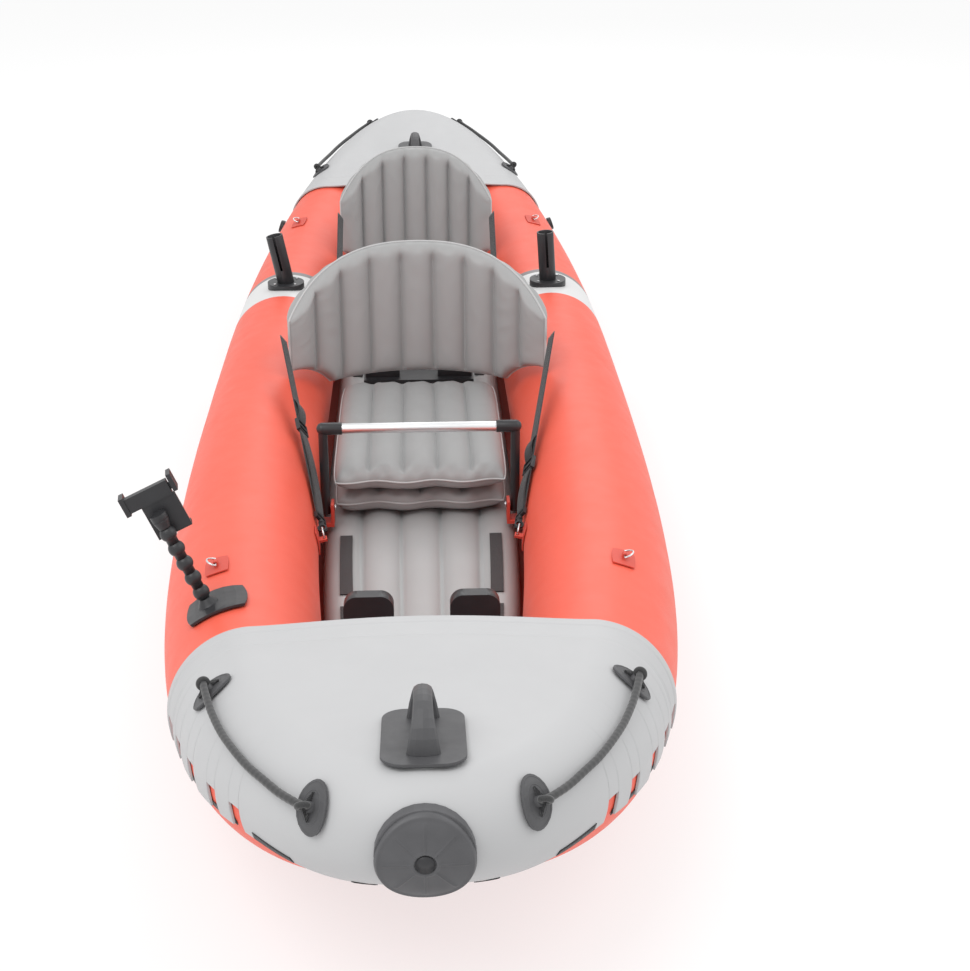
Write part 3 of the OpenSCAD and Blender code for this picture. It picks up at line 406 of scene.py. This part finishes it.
def webbing_material():
    """Black woven tape: close diagonal ribs."""
    m, s = shader_material("webbing_look", (0.018, 0.018, 0.02), 0.72, 0.3, sheen=0.25)
    g = Graph(m, s)
    fuzz = g.mix_colour(g.noise(420, 3), (0.012, 0.012, 0.013), (0.035, 0.035, 0.038))
    g.link(fuzz, s.inputs["Base Color"])
    g.bump(g.weave(2600), 0.8, 0.25 * MM)
    return m


def rope_material():
    """Black braided cord; the strands themselves are in its mesh."""
    m, s = shader_material("rope_look", (0.022, 0.022, 0.023), 0.66, 0.3, sheen=0.3)
    g = Graph(m, s)
    fuzz = g.mix_colour(g.noise(900, 3), (0.012, 0.012, 0.012), (0.06, 0.06, 0.062))
    g.link(fuzz, s.inputs["Base Color"])
    g.bump(g.noise(2400, 2), 0.5, 0.1 * MM)
    return m


HULL = hull_material()
BOTTOM = coated_fabric("bottom_fabric_look", (0.45, 0.07, 0.05), 0.55)[0]
COVER = coated_fabric("cover_fabric_look", (0.46, 0.462, 0.468), 0.5, 0.03)[0]
FLOOR = coated_fabric("floor_fabric_look", (0.40, 0.40, 0.40), 0.42, 0.05)[0]
SEAT = coated_fabric("seat_fabric_look", (0.33, 0.33, 0.33), 0.44, 0.05)[0]
PIPING = coated_fabric("piping_look", (0.47, 0.47, 0.47), 0.5, 0.04)[0]
RED_PATCH = coated_fabric("red_patch_look", (0.62, 0.075, 0.05), 0.5, 0.05)[0]
RUBBER = moulded("patch_rubber_look", (0.055, 0.055, 0.058), 0.5)
BUMPER = moulded("bumper_rubber_look", (0.062, 0.062, 0.066), 0.46)
PLASTIC = moulded("black_plastic_look", (0.017, 0.017, 0.019), 0.4, 0.04, 1300)
WEBBING = webbing_material()
ROPE = rope_material()
STEEL = metal("steel_look", (0.70, 0.70, 0.71), 0.24, 900)
ALUMINIUM = metal("bar_aluminium_look", (0.86, 0.87, 0.88), 0.34, 1500)


def finish_node(name, material, bevel=0.0007):
    """A CAD node that keeps its shape: its material, with softened edges."""
    obj = nodes[name]
    obj.data.materials.clear()
    obj.data.materials.append(material)
    weld = obj.modifiers.new("weld", "WELD")
    weld.merge_threshold = 1e-5
    if bevel:
        edge = obj.modifiers.new("bevel", "BEVEL")
        edge.width = bevel
        edge.segments = 2
        edge.limit_method = "ANGLE"
        edge.angle_limit = math.radians(38)
        edge.harden_normals = True


# ---- Camera ----
CAMERA_AT = Vector((0.0044, -3.4177, 1.4684))
CAMERA_DOWN = 24.296                        # degrees below the horizon
CAMERA_TURN = 2.464                         # degrees from +Y towards +X
camera = bpy.data.objects.new("camera", bpy.data.cameras.new("camera"))
bpy.context.scene.collection.objects.link(camera)
camera.location = CAMERA_AT
camera.rotation_euler = (math.radians(90 - CAMERA_DOWN), 0, math.radians(-CAMERA_TURN))
camera.data.sensor_width = 36
camera.data.lens = 59.05
camera.data.clip_end = 60
bpy.context.scene.camera = camera


# ---- Grab lines ----
def grab_line(name, route, side):
    """A braided cord between two eyes: three ridges wind each way round it."""
    points, length = resample([flip(np.array(p) * MM, side) for p in route], 0.0016)
    turns = length / 0.022

    def radius(s, b):
        wind = 2 * math.pi * turns * s / 3
        ridge = math.cos(3 * (b + wind)) * math.cos(3 * (b - wind))
        return ROPE_D / 2 * (0.955 + 0.045 * ridge)

    rope = sweep(name + "_braid", points, radius, ROPE, 24)
    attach(rope, "hull")
    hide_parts(name)
    return rope


for rope_name, rope_route, rope_side in (
        ("grab_line_bow_port", ROPE_BOW, 1), ("grab_line_bow_starboard", ROPE_BOW, -1),
        ("grab_line_stern_port", ROPE_STERN, 1), ("grab_line_stern_starboard", ROPE_STERN, -1)):
    grab_line(rope_name, rope_route, rope_side)


# ---- Chambers ----
def chamber(name, side):
    """A side chamber: a smooth tube, flattened where it rests, slack by a hair between its seams."""
    steps, sides = 200, 72
    rings = []
    for k in range(steps + 1):
        a = -90 + 180 * k / steps
        r = corner_r(a) - 0.0004
        ring = []
        for i in range(sides):
            b = 360 * i / sides
            p = flip(tube_pt(a, b, r), side)
            slack = 0.0007 * noise.noise(Vector((p[0] * 5, p[1] * 3.2, p[2] * 5)))
            p = p - abs(slack) * flip(normal_at(a, b), side)
            p[2] = max(p[2], 0.0002)
            ring.append(p)
        rings.append(ring)
    skin = loft(name + "_skin", rings, HULL)
    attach(skin, "hull")
    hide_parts(name)


chamber("chamber_port", 1)
chamber("chamber_starboard", -1)


# ---- Floor ----
def floor_half(y):
    return min(FLOOR_W / 2, axis_x(y) - corner_r(angle_of(y)) - 0.003)


def floor_low(y):
    """The upper side of the bottom skin, which the floor lies on."""
    return keel(y) + tube_r(y) * (1 - math.sin(math.radians(67.5)) / math.cos(FACET / 2)) + 0.006


def floor_mat():
    """Lengthwise air channels with rounded tops and sewn valleys."""
    rows, cuts = 90, 70
    rings = []
    for k in range(rows + 1):
        y = mix(-FLOOR_L, FLOOR_L, k / rows) / 2
        w = floor_half(y)
        end = min(1, min(k, rows - k) / 3)
        puff = math.sqrt(1 - (1 - end) ** 2)
        base = floor_low(y)
        ring = []
        for i in range(cuts + 1):
            x = mix(w, -w, i / cuts)
            c = (i / cuts) * FLOOR_CHANNELS
            d = 2 * (c - math.floor(c)) - 1 if i < cuts else 1
            arch = math.sqrt(max(0, 1 - 0.93 * d * d))
            top = keel(y) + FLOOR_TOP - 0.020 * (1 - arch)
            rim = math.sqrt(max(0, 1 - abs(x / w) ** 16))
            z = mix(base + 0.035, top, max(0.25, rim) * (0.5 + 0.5 * puff))
            ring.append(np.array([x * (0.985 + 0.015 * rim), y, z]))
        for x in (-w * 0.99, -w * 0.9, w * 0.9, w * 0.99):
            ring.append(np.array([x, y, base + (0.02 if abs(x) > w * 0.95 else 0)]))
        rings.append(ring)
    mat = loft("floor_mat", rings, FLOOR)
    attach(mat, "hull")
    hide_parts("floor_chamber")


floor_mat()


# ---- End covers ----
COVER_A = math.degrees(math.asin((HULL_L / 2 - COVER_L) / AXIS_L))
COVER_SIDE_LOW = -14
COVER_TIP_LOW = -72
COVER_WRAP = 66
NOTCHES = (49.5, 52.7, 57.0, 62.3, 67.0)    # centreline angles of the relief notches
NOTCH_HALF = 0.95
NOTCH_DEPTH = 19                            # degrees round the chamber
NOTCH_STEP = 0.03                           # a notch's side stands within this many degrees
HEM_W = 0.022


def cover_low(a):
    return mix(COVER_SIDE_LOW, COVER_TIP_LOW, smooth((a - COVER_WRAP) / (90 - COVER_WRAP)))


def cover_edge(a):
    notch = any(abs(a - n) < NOTCH_HALF for n in NOTCHES)
    return cover_low(a) + (NOTCH_DEPTH if notch else 0)


def cover(end, name):
    """A fitted cover: a thin shell with a folded hem at the cockpit and notches along its lower edge.
    Its two sides join on the centreline at the tip."""
    angles = set(np.linspace(COVER_A, 90, 110))
    for n in NOTCHES:
        angles |= {n + side * NOTCH_HALF + step for side in (-1, 1) for step in (-NOTCH_STEP, NOTCH_STEP)}
    start = abs(axis_pt(COVER_A)[1])
    for w in (0.004, HEM_W - 0.0015, HEM_W, HEM_W + 0.0015, 0.062, 0.065, 0.068):
        angles.add(math.degrees(math.asin((start + w) / AXIS_L)))
    angles = sorted(min(90, round(float(a), 6)) for a in angles)
    side_cols, mid_cols = 34, 20

    def row(a, outer):
        back = abs(axis_pt(a)[1]) - start
        lift = 0.0
        if outer:
            lift = 0.0013 * (1 - smooth((back - HEM_W + 0.003) / 0.003))
            lift -= 0.0009 * math.exp(-((back - 0.065) / 0.003) ** 2)
        r = corner_r(a) + COVER_GAP + (COVER_T if outer else 0.0006) + lift
        edge = cover_edge(a)
        half = [tube_pt(end * a, mix(edge, 90, j / side_cols), r) for j in range(side_cols + 1)]
        top = half[-1]
        middle = []
        for i in range(1, mid_cols):
            u = 1 - 2 * i / mid_cols
            crown = COVER_CROWN * top[0] / AXIS_W * (1 - u * u) ** 1.5
            sag = 0.004 * noise.noise(Vector((u * 2.1, back * 7, end * 3.0))) * (1 - u * u)
            sag *= min(1, back / 0.1) * top[0] / AXIS_W
            middle.append(np.array([top[0] * u, top[1], top[2] + (0 if a == 90 else crown + sag)]))
        whole = half + middle + [flip(p, -1) for p in reversed(half)]
        return [flip(p, 0) for p in whole] if a == 90 else whole

    outer = [row(a, True) for a in angles]
    inner = [row(a, False) for a in angles]
    m, n = len(outer), len(outer[0])
    points = [p for r in outer for p in r] + [p for r in inner for p in r]
    faces = ring_faces(m, n, False) + ring_faces(m, n, False, m * n)
    o = m * n
    for i in range(m - 1):
        faces.append((i * n, (i + 1) * n, o + (i + 1) * n, o + i * n))
        faces.append((i * n + n - 1, o + i * n + n - 1, o + (i + 1) * n + n - 1, (i + 1) * n + n - 1))
    for j in range(n - 1):
        faces.append((j, j + 1, o + j + 1, o + j))
    skin = recalc(mesh_object(name + "_skin", points, faces, COVER))
    edge_split = skin.modifiers.new("edges", "EDGE_SPLIT")
    edge_split.split_angle = math.radians(48)
    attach(skin, "hull")
    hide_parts(name)
    return skin


def ribbon_on_tube(name, angles, b_at, half_w, lift, thick, side, material):
    """A flat strip that follows a chamber: b_at gives its middle's angle round the chamber."""
    rings = []
    for a in angles:
        r0 = corner_r(a) + lift
        spread = math.degrees(half_w / r0)
        b = b_at(abs(a))
        rings.append([flip(tube_pt(a, b + s * spread, r0 + t), side)
                      for s, t in ((-1, 0), (1, 0), (1, thick), (-1, thick))])
    strip = loft(name, rings, material)
    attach(strip, "hull")
    return strip


def cover_details(end, where):
    """Lacing tape in the notches, and painted shade: black strips on the cover for the slots near the tip.
    """
    for side, label in ((1, "port"), (-1, "starboard")):
        ribbon_on_tube(f"{where}_lacing_{label}", [end * a for a in np.linspace(47.4, 66.2, 60)],
                       lambda a: cover_low(a) + 1.2, 0.004, 0.0002, 0.0008, side, WEBBING)
        # painted shade: a black strip laid over the cover where a slot's dark inside would show
        ribbon_on_tube(f"{where}_painted_shade_slot_{label}", [end * a for a in np.linspace(69.6, 74.4, 24)],
                       lambda a: cover_low(a) + 4.5, 0.0045, COVER_GAP + COVER_T + 0.0002, 0.0010, side,
                       WEBBING)
        ribbon_on_tube(f"{where}_keel_tab_{label}", [end * a for a in np.linspace(80.5, 83.0, 12)],
                       lambda a: cover_low(a) + 3.5, 0.0032, COVER_GAP + COVER_T + 0.0002, 0.0010, side,
                       WEBBING)


cover(-1, "bow_cover")
cover(1, "stern_cover")
cover_details(-1, "bow")
cover_details(1, "stern")


# ---- Bumper caps ----
BUMPER_R = 0.061
BUMPER_DOME = 0.007
BUMPER_FALL = 0.022


def bumper_face(end, name):
    """The moulded face of a bumper cap: a rim, a shallow dish, eight ribs and a socket in the middle."""
    z0 = axis_pt(end * 90)[2]
    face_y = HULL_L / 2
    spokes, rings = 160, 46
    points = []
    for k in range(rings + 1):
        rho = BUMPER_R * 0.985 * k / rings
        for i in range(spokes):
            b = 2 * math.pi * i / spokes
            dish = 0.0034 * smooth((0.053 - rho) / 0.032)
            rib = 0.0017 * math.exp(-((math.sin(4 * b) * rho / 4) / 0.0011) ** 2)
            rib *= smooth((rho - 0.014) / 0.004) * smooth((0.053 - rho) / 0.004)
            socket = 0.011 * smooth((0.0135 - rho) / 0.002)
            collar = 0.0012 * math.exp(-((rho - 0.0155) / 0.0016) ** 2)
            rim = 0.0014 * math.exp(-((rho - 0.0565) / 0.0022) ** 2)
            fall = (rho / BUMPER_R) ** 2 * mix(BUMPER_DOME, BUMPER_FALL, math.sin(b) ** 2)
            y = face_y + 0.0046 - fall - dish + rib - socket * 0.32 + collar + rim
            y -= 0.0046 * smooth((rho - 0.0575) / 0.0026)
            points.append(np.array([rho * math.cos(b), end * y, z0 + rho * math.sin(b)]))
    faces = ring_faces(rings + 1, spokes)
    faces.append(tuple(range(rings * spokes, (rings + 1) * spokes)))
    face = recalc(mesh_object(name + "_face", points, faces, BUMPER))
    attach(face, "hull")
    finish_node(name, BUMPER, 0.0012)
    hub = [[np.array([0.0118 * math.cos(b), end * (face_y + lift), z0 + 0.0118 * math.sin(b)])
            for b in np.linspace(0, 2 * math.pi, 40, endpoint=False)] for lift in (-0.0008, 0.0009)]
    socket_face = loft(name + "_socket", hub, PLASTIC)
    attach(socket_face, "hull")


bumper_face(-1, "bow_bumper")
bumper_face(1, "stern_bumper")


# ---- Rope patches: rims and webbing loops on the CAD pads ----
PATCHES = {"rear": (55.5, 53), "tip": (78.8, 33)}
PATCH_L = 0.025
PATCH_W = 0.034
PATCH_T = 0.003


def patch_pt(end, side, a, b, u, v, lift):
    r = corner_r(a) + COVER_GAP + COVER_T + 0.0014 + PATCH_T + lift
    per_degree = np.linalg.norm(tube_pt(a + 0.5, b, r) - tube_pt(a - 0.5, b, r))
    return flip(tube_pt(end * (a + u * PATCH_L / per_degree), b + math.degrees(v * PATCH_W / r), r), side)


def rope_patch(end, side, key, label, tie):
    a, b = PATCHES[key]
    for k, share in enumerate((0.93, 0.62)):
        route = [patch_pt(end, side, a, b, share * math.cos(t), share * math.sin(t), 0.0002)
                 for t in np.linspace(0, 2 * math.pi, 56, endpoint=False)]
        rim = sweep(f"{label}_rim_{k + 1}", route, 0.0013, RUBBER, 8, True)
        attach(rim, "hull")
    left, right = (patch_pt(end, side, a, b, 0, v, 0.001) for v in (-0.62, 0.62))
    apex = mix(patch_pt(end, side, a, b, 0, 0, 0.001), tie, 0.86)
    out = unit(patch_pt(end, side, a, b, 0, 0, 0.01) - patch_pt(end, side, a, b, 0, 0, 0))
    corners = [left, right, apex + out * 0.002]
    middle = sum(corners) / 3
    rings = []
    for shift in (0.0, 0.0026):
        ring = []
        for i in range(3):
            p, q = corners[i], corners[(i + 1) % 3]
            for t in (0.08, 0.36, 0.64, 0.92):
                ring.append(mix(middle, mix(p, q, t), 0.96) + out * shift)
        rings.append(ring)
    loop = loft(f"{label}_loop", rings, WEBBING)
    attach(loop, "hull")
    knot_route = [tie + 0.0062 * (math.cos(t) * out + math.sin(t) * unit(np.cross(out, tie - middle)))
                  for t in np.linspace(0, 2 * math.pi, 30, endpoint=False)]
    knot = sweep(f"{label}_knot", knot_route, 0.0042, ROPE, 14, True)
    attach(knot, "hull")


for patch_end, patch_where, patch_rope in ((-1, "bow", ROPE_BOW), (1, "stern", ROPE_STERN)):
    for patch_side, patch_label in ((1, "port"), (-1, "starboard")):
        for patch_key, rope_point in (("rear", patch_rope[0]), ("tip", patch_rope[-1])):
            rope_patch(patch_end, patch_side, patch_key, f"{patch_where}_{patch_key}_{patch_label}",
                       flip(np.array(rope_point) * MM, patch_side))


# ---- Cushions ----
def seat_base_top(y):
    return keel(y) + FLOOR_TOP + SEAT_GAP + SEAT_BASE_T


def seat_top(y):
    return seat_base_top(y) + SEAT_GAP + SEAT_CUSHION_T


def channel(u, count, depth=0.93):
    """Height share across sewn channels: round tops and sharp valleys."""
    c = (u + 1) / 2 * count
    d = 2 * (c - math.floor(min(c, count - 1e-9))) - 1
    return math.sqrt(max(0.0, 1 - depth * d * d))


def pillow(name, nu, nv, place, height, material, seam_r):
    """A closed pad. place(u, v) gives a point and a normal of its middle sheet, and height(u, v) the
    heights over and under it; a piped seam runs round its edge."""
    grid = [[place(mix(-1, 1, i / nu), mix(-1, 1, j / nv)) + height(mix(-1, 1, i / nu), mix(-1, 1, j / nv))
             for i in range(nu + 1)] for j in range(nv + 1)]
    cols = nu + 1
    points = [p + n * up for row in grid for p, n, up, down in row]
    points += [p - n * down for row in grid for p, n, up, down in row]
    faces = ring_faces(nv + 1, cols, False)
    faces += [tuple(reversed(f)) for f in ring_faces(nv + 1, cols, False, cols * (nv + 1))]
    pad = recalc(mesh_object(name, points, faces, material))
    edge = [grid[0][i][0] for i in range(cols)] + [grid[j][nu][0] for j in range(1, nv + 1)]
    edge += [grid[nv][i][0] for i in range(nu - 1, -1, -1)] + [grid[j][0][0] for j in range(nv - 1, 0, -1)]
    return pad, sweep(name + "_piping", edge, seam_r, PIPING, 8, True)


def seat_pad(which, layer, body="hull"):
    """A sewn seat cushion: lengthwise channels that pinch into a piped edge."""
    y_back = SEATS[which]
    base = layer == "base"
    top = (seat_base_top if base else seat_top)(y_back)
    t = SEAT_BASE_T if base else SEAT_CUSHION_T
    length = SEAT_L - (0.03 if base else 0)
    half = t / 2 - 0.0015
    count = 4 if base else 5

    def place(u, v):
        pinch = 1 - 0.03 * abs(v) ** 8
        front = 0.006 * math.sin(u * 9) * (1 - smooth((v + 1) * 5))
        p = np.array([u * (SEAT_W / 2 - 0.004) * pinch, y_back - length * (1 - v) / 2 + front, top - t / 2])
        return p, np.array([0, 0, 1.0])

    def height(u, v):
        edge = (1 - abs(u) ** 9) ** 0.5 * (1 - abs(v) ** 15) ** 0.5
        fade = smooth((1 - abs(v)) / 0.12)
        sewn = mix(1, 0.42 + 0.58 * channel(u, count, 0.98), fade)
        gather = 1 - 0.34 * (1 - fade) * (0.5 + 0.5 * math.cos(u * count * math.pi * 2 + 1.3))
        soft = 1 - 0.05 * abs(noise.noise(Vector((u * 3, v * 4, y_back))))
        h = half * edge * sewn * gather * soft * (1.06 if not base else 1)
        return h, half * edge * (0.92 + 0.08 * channel(u, count))

    node = f"{which}_seat_{layer}"
    pad, seam = pillow(node + "_pad", 110, 110, place, height, SEAT, 0.0019)
    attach(pad, body)
    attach(seam, body)
    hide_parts(node)


def back_low(x, seat_y):
    return max(seat_top(seat_y) + 0.004, tube_top_z(abs(x) + BACK_T / 4, seat_y) + 0.006)


def backrest(which):
    """A curved, upright pad with an arched top, sewn into upright channels that end below the edge."""
    seat_y = SEATS[which]
    count = 9 if which == "front" else 7
    y0 = seat_y + BACK_T / 2 + 0.006

    def middle(u, v, r=BACK_R):
        b = math.radians(BACK_HALF_ANGLE[seat_y] * u)
        low = back_low((BACK_R + BACK_T / 2) * math.sin(b), seat_y)
        high = seat_top(seat_y) + mix(BACK_H, BACK_EDGE_H, abs(u) ** 2.6)
        z = mix(low + 0.002, high - 0.002, (v + 1) / 2)
        return np.array([r * math.sin(b), y0 - (BACK_R - r * math.cos(b))
                         + (z - seat_top(seat_y)) * math.tan(BACK_LEAN), z])

    def place(u, v):
        b = math.radians(BACK_HALF_ANGLE[seat_y] * u)
        return middle(u, v), unit(np.array([math.sin(b), math.cos(b), 0.0]))

    def height(u, v):
        edge = (1 - abs(u) ** 10) ** 0.5 * (1 - abs(v) ** 12) ** 0.5
        fade = smooth((1 - v) / 0.3) * smooth((1 + v) / 0.05)
        sewn = mix(0.72 + 0.28 * channel(u, count), 0.12 + 0.88 * channel(u, count, 0.99), fade)
        gather = 1 - 0.22 * (1 - smooth((1 - v) / 0.16)) * (0.5 + 0.5 * math.cos(u * count * math.pi * 2))
        crease = 1 - 0.05 * abs(noise.noise(Vector((u * 9, v * 3, seat_y * 5))))
        h = (BACK_T / 2 + 0.004) * edge * sewn * gather * crease
        return h, h

    node = f"{which}_backrest"
    pad, seam = pillow(node + "_pad", 190, 90, place, height, SEAT, 0.0023)
    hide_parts(node)
    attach(pad, which + "_back")
    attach(seam, which + "_back")


for seat_name in SEATS:
    seat_pad(seat_name, "base")
    seat_pad(seat_name, "cushion")
    backrest(seat_name)


# ---- Seat straps ----
ANCHOR_AHEAD = 0.725
ANCHOR_B = 172
EYE_LIFT = 0.012
STRAP_W = 0.025
STRAP_T = 0.0018
STRAP_FROM = 0.0648
BUCKLE_AT = {1: 0.2, -1: 0.33}


def anchor(seat_y):
    a = angle_of(seat_y - ANCHOR_AHEAD)
    return a, tube_pt(a, ANCHOR_B, corner_r(a) + 0.00085 + EYE_LIFT)


def strap_top(seat_y):
    b = math.radians(BACK_HALF_ANGLE[seat_y])
    behind, beside = (0.0, 0.00075) if seat_y > 0 else (0.0163, -0.0022)
    r = BACK_R + behind
    y = seat_y + BACK_T / 2 + 0.006 - BACK_R + r * math.cos(b) - beside * math.sin(b)
    return np.array([r * math.sin(b) + beside * math.cos(b), y, seat_top(seat_y) + 0.134])


def straps(which):
    """Both straps of a seat: a single run from the backrest to the buckle, and two runs from there down."""
    seat_y = SEATS[which]
    a, eye = anchor(seat_y)
    top = strap_top(seat_y)
    line = unit(top - eye)
    across_tube = normal_at(a, 148)
    n = unit(across_tube - line * (across_tube @ line))
    w = np.cross(line, n)
    reach = np.linalg.norm(top - eye)
    points, faces = [], []

    def run(side, start, stop, lift, sag):
        steps = 70
        first = len(points)
        for k in range(steps + 1):
            s = k / steps
            edge_fade = math.sin(math.pi * s)
            mid = eye + line * mix(start, stop, s) + n * (lift * edge_fade ** 0.5 + sag * edge_fade)
            for t in (-1, 1):
                for c in np.linspace(-1, 1, 7):
                    rib = 0.00016 * math.cos(c * 9.4)
                    points.append(flip(mid + w * STRAP_W / 2 * c * t + n * t * (STRAP_T / 2 + rib), side))
        faces.extend(ring_faces(steps + 1, 14, True, first))
        faces.append(tuple(range(first + 13, first - 1, -1)))
        faces.append(tuple(range(first + steps * 14, first + steps * 14 + 14)))

    for side in (1, -1):
        buckle = BUCKLE_AT[side]
        run(side, STRAP_FROM, reach, 0.0, 0.0)
        run(side, STRAP_FROM + 0.002, buckle - 0.012, 0.0042, 0.002)
        run(side, buckle + 0.014, buckle + 0.085, 0.0044, 0.004)
    node = f"{which}_seat_straps"
    tape = recalc(mesh_object(node + "_tape", points, faces, WEBBING))
    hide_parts(node)
    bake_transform(tape)


straps("front")
straps("rear")

# ---- CAD nodes that keep their shape ----
for node_names, node_material, node_bevel in (
        ("hull_bottom", BOTTOM, 0),
        ("handle_patches", RUBBER, 0.0014),
        ("bow_handle stern_handle", RUBBER, 0),
        ("rope_patches_bow rope_patches_stern", RUBBER, 0.0006),
        ("strap_buckles snap_hooks", PLASTIC, 0.0006),
        ("seat_rings", STEEL, 0),
        ("rod_bases", PLASTIC, 0.0014),
        ("rod_tube_port rod_tube_starboard", PLASTIC, 0.0008),
        ("rod_screws bar_bolts", STEEL, 0.0003),
        ("bar_mounts", RED_PATCH, 0.0012),
        ("bar_leg_port bar_leg_starboard", PLASTIC, 0.0008),
        ("bar_tube", ALUMINIUM, 0.0004),
        ("front_footrest rear_footrest", PLASTIC, 0.0016),
        ("floor_hook_strips", WEBBING, 0),
        ("arm_base", PLASTIC, 0.0012),
        ("arm_ball_1 arm_ball_2 arm_ball_3 arm_ball_4 arm_ball_5", PLASTIC, 0),
        ("phone_cradle cradle_jaw", PLASTIC, 0.0009),
        ("ring_patches", RED_PATCH, 0.0005),
        ("ring_bow_port ring_bow_starboard ring_stern_port ring_stern_starboard", STEEL, 0),
        ("valve_bodies", PLASTIC, 0.0006),
        ("valve_cap_port valve_cap_starboard valve_cap_floor", PLASTIC, 0.0006),
        ("skeg_rail skeg", PLASTIC, 0.001)):
    for node_name in node_names.split():
        finish_node(node_name, node_material, node_bevel)


# ---- Stage, light and colour ----
def studio():
    white, shader = shader_material("studio_white", (0.3, 0.3, 0.3), 0.9, 0.0)
    shader.inputs["Emission Color"].default_value = (1, 1, 1, 1)
    shader.inputs["Emission Strength"].default_value = 0.68
    corners = [(x, y, -0.0015) for x, y in ((-20, -20), (20, -20), (20, 20), (-20, 20))]
    floor = mesh_object("studio_floor", corners, [(0, 1, 2, 3)], white)
    world = bpy.data.worlds.new("studio")
    world.use_nodes = True
    world.node_tree.nodes["Background"].inputs[0].default_value = (1, 1, 1, 1)
    world.node_tree.nodes["Background"].inputs[1].default_value = 0.92
    bpy.context.scene.world = world
    for name, at, size, power in (("key", (-2.2, -2.6, 4.2), 3.0, 95), ("fill", (3.2, -1.0, 3.4), 3.4, 48),
                                  ("back", (0.6, 4.4, 3.6), 3.0, 50)):
        lamp = bpy.data.objects.new(name, bpy.data.lights.new(name, "AREA"))
        lamp.data.size = size
        lamp.data.energy = power
        lamp.location = at
        lamp.rotation_euler = (Vector((0, 0, 0.2)) - Vector(at)).to_track_quat("-Z", "Y").to_euler()
        bpy.context.scene.collection.objects.link(lamp)
    bpy.context.scene.view_settings.view_transform = "Standard"


studio()
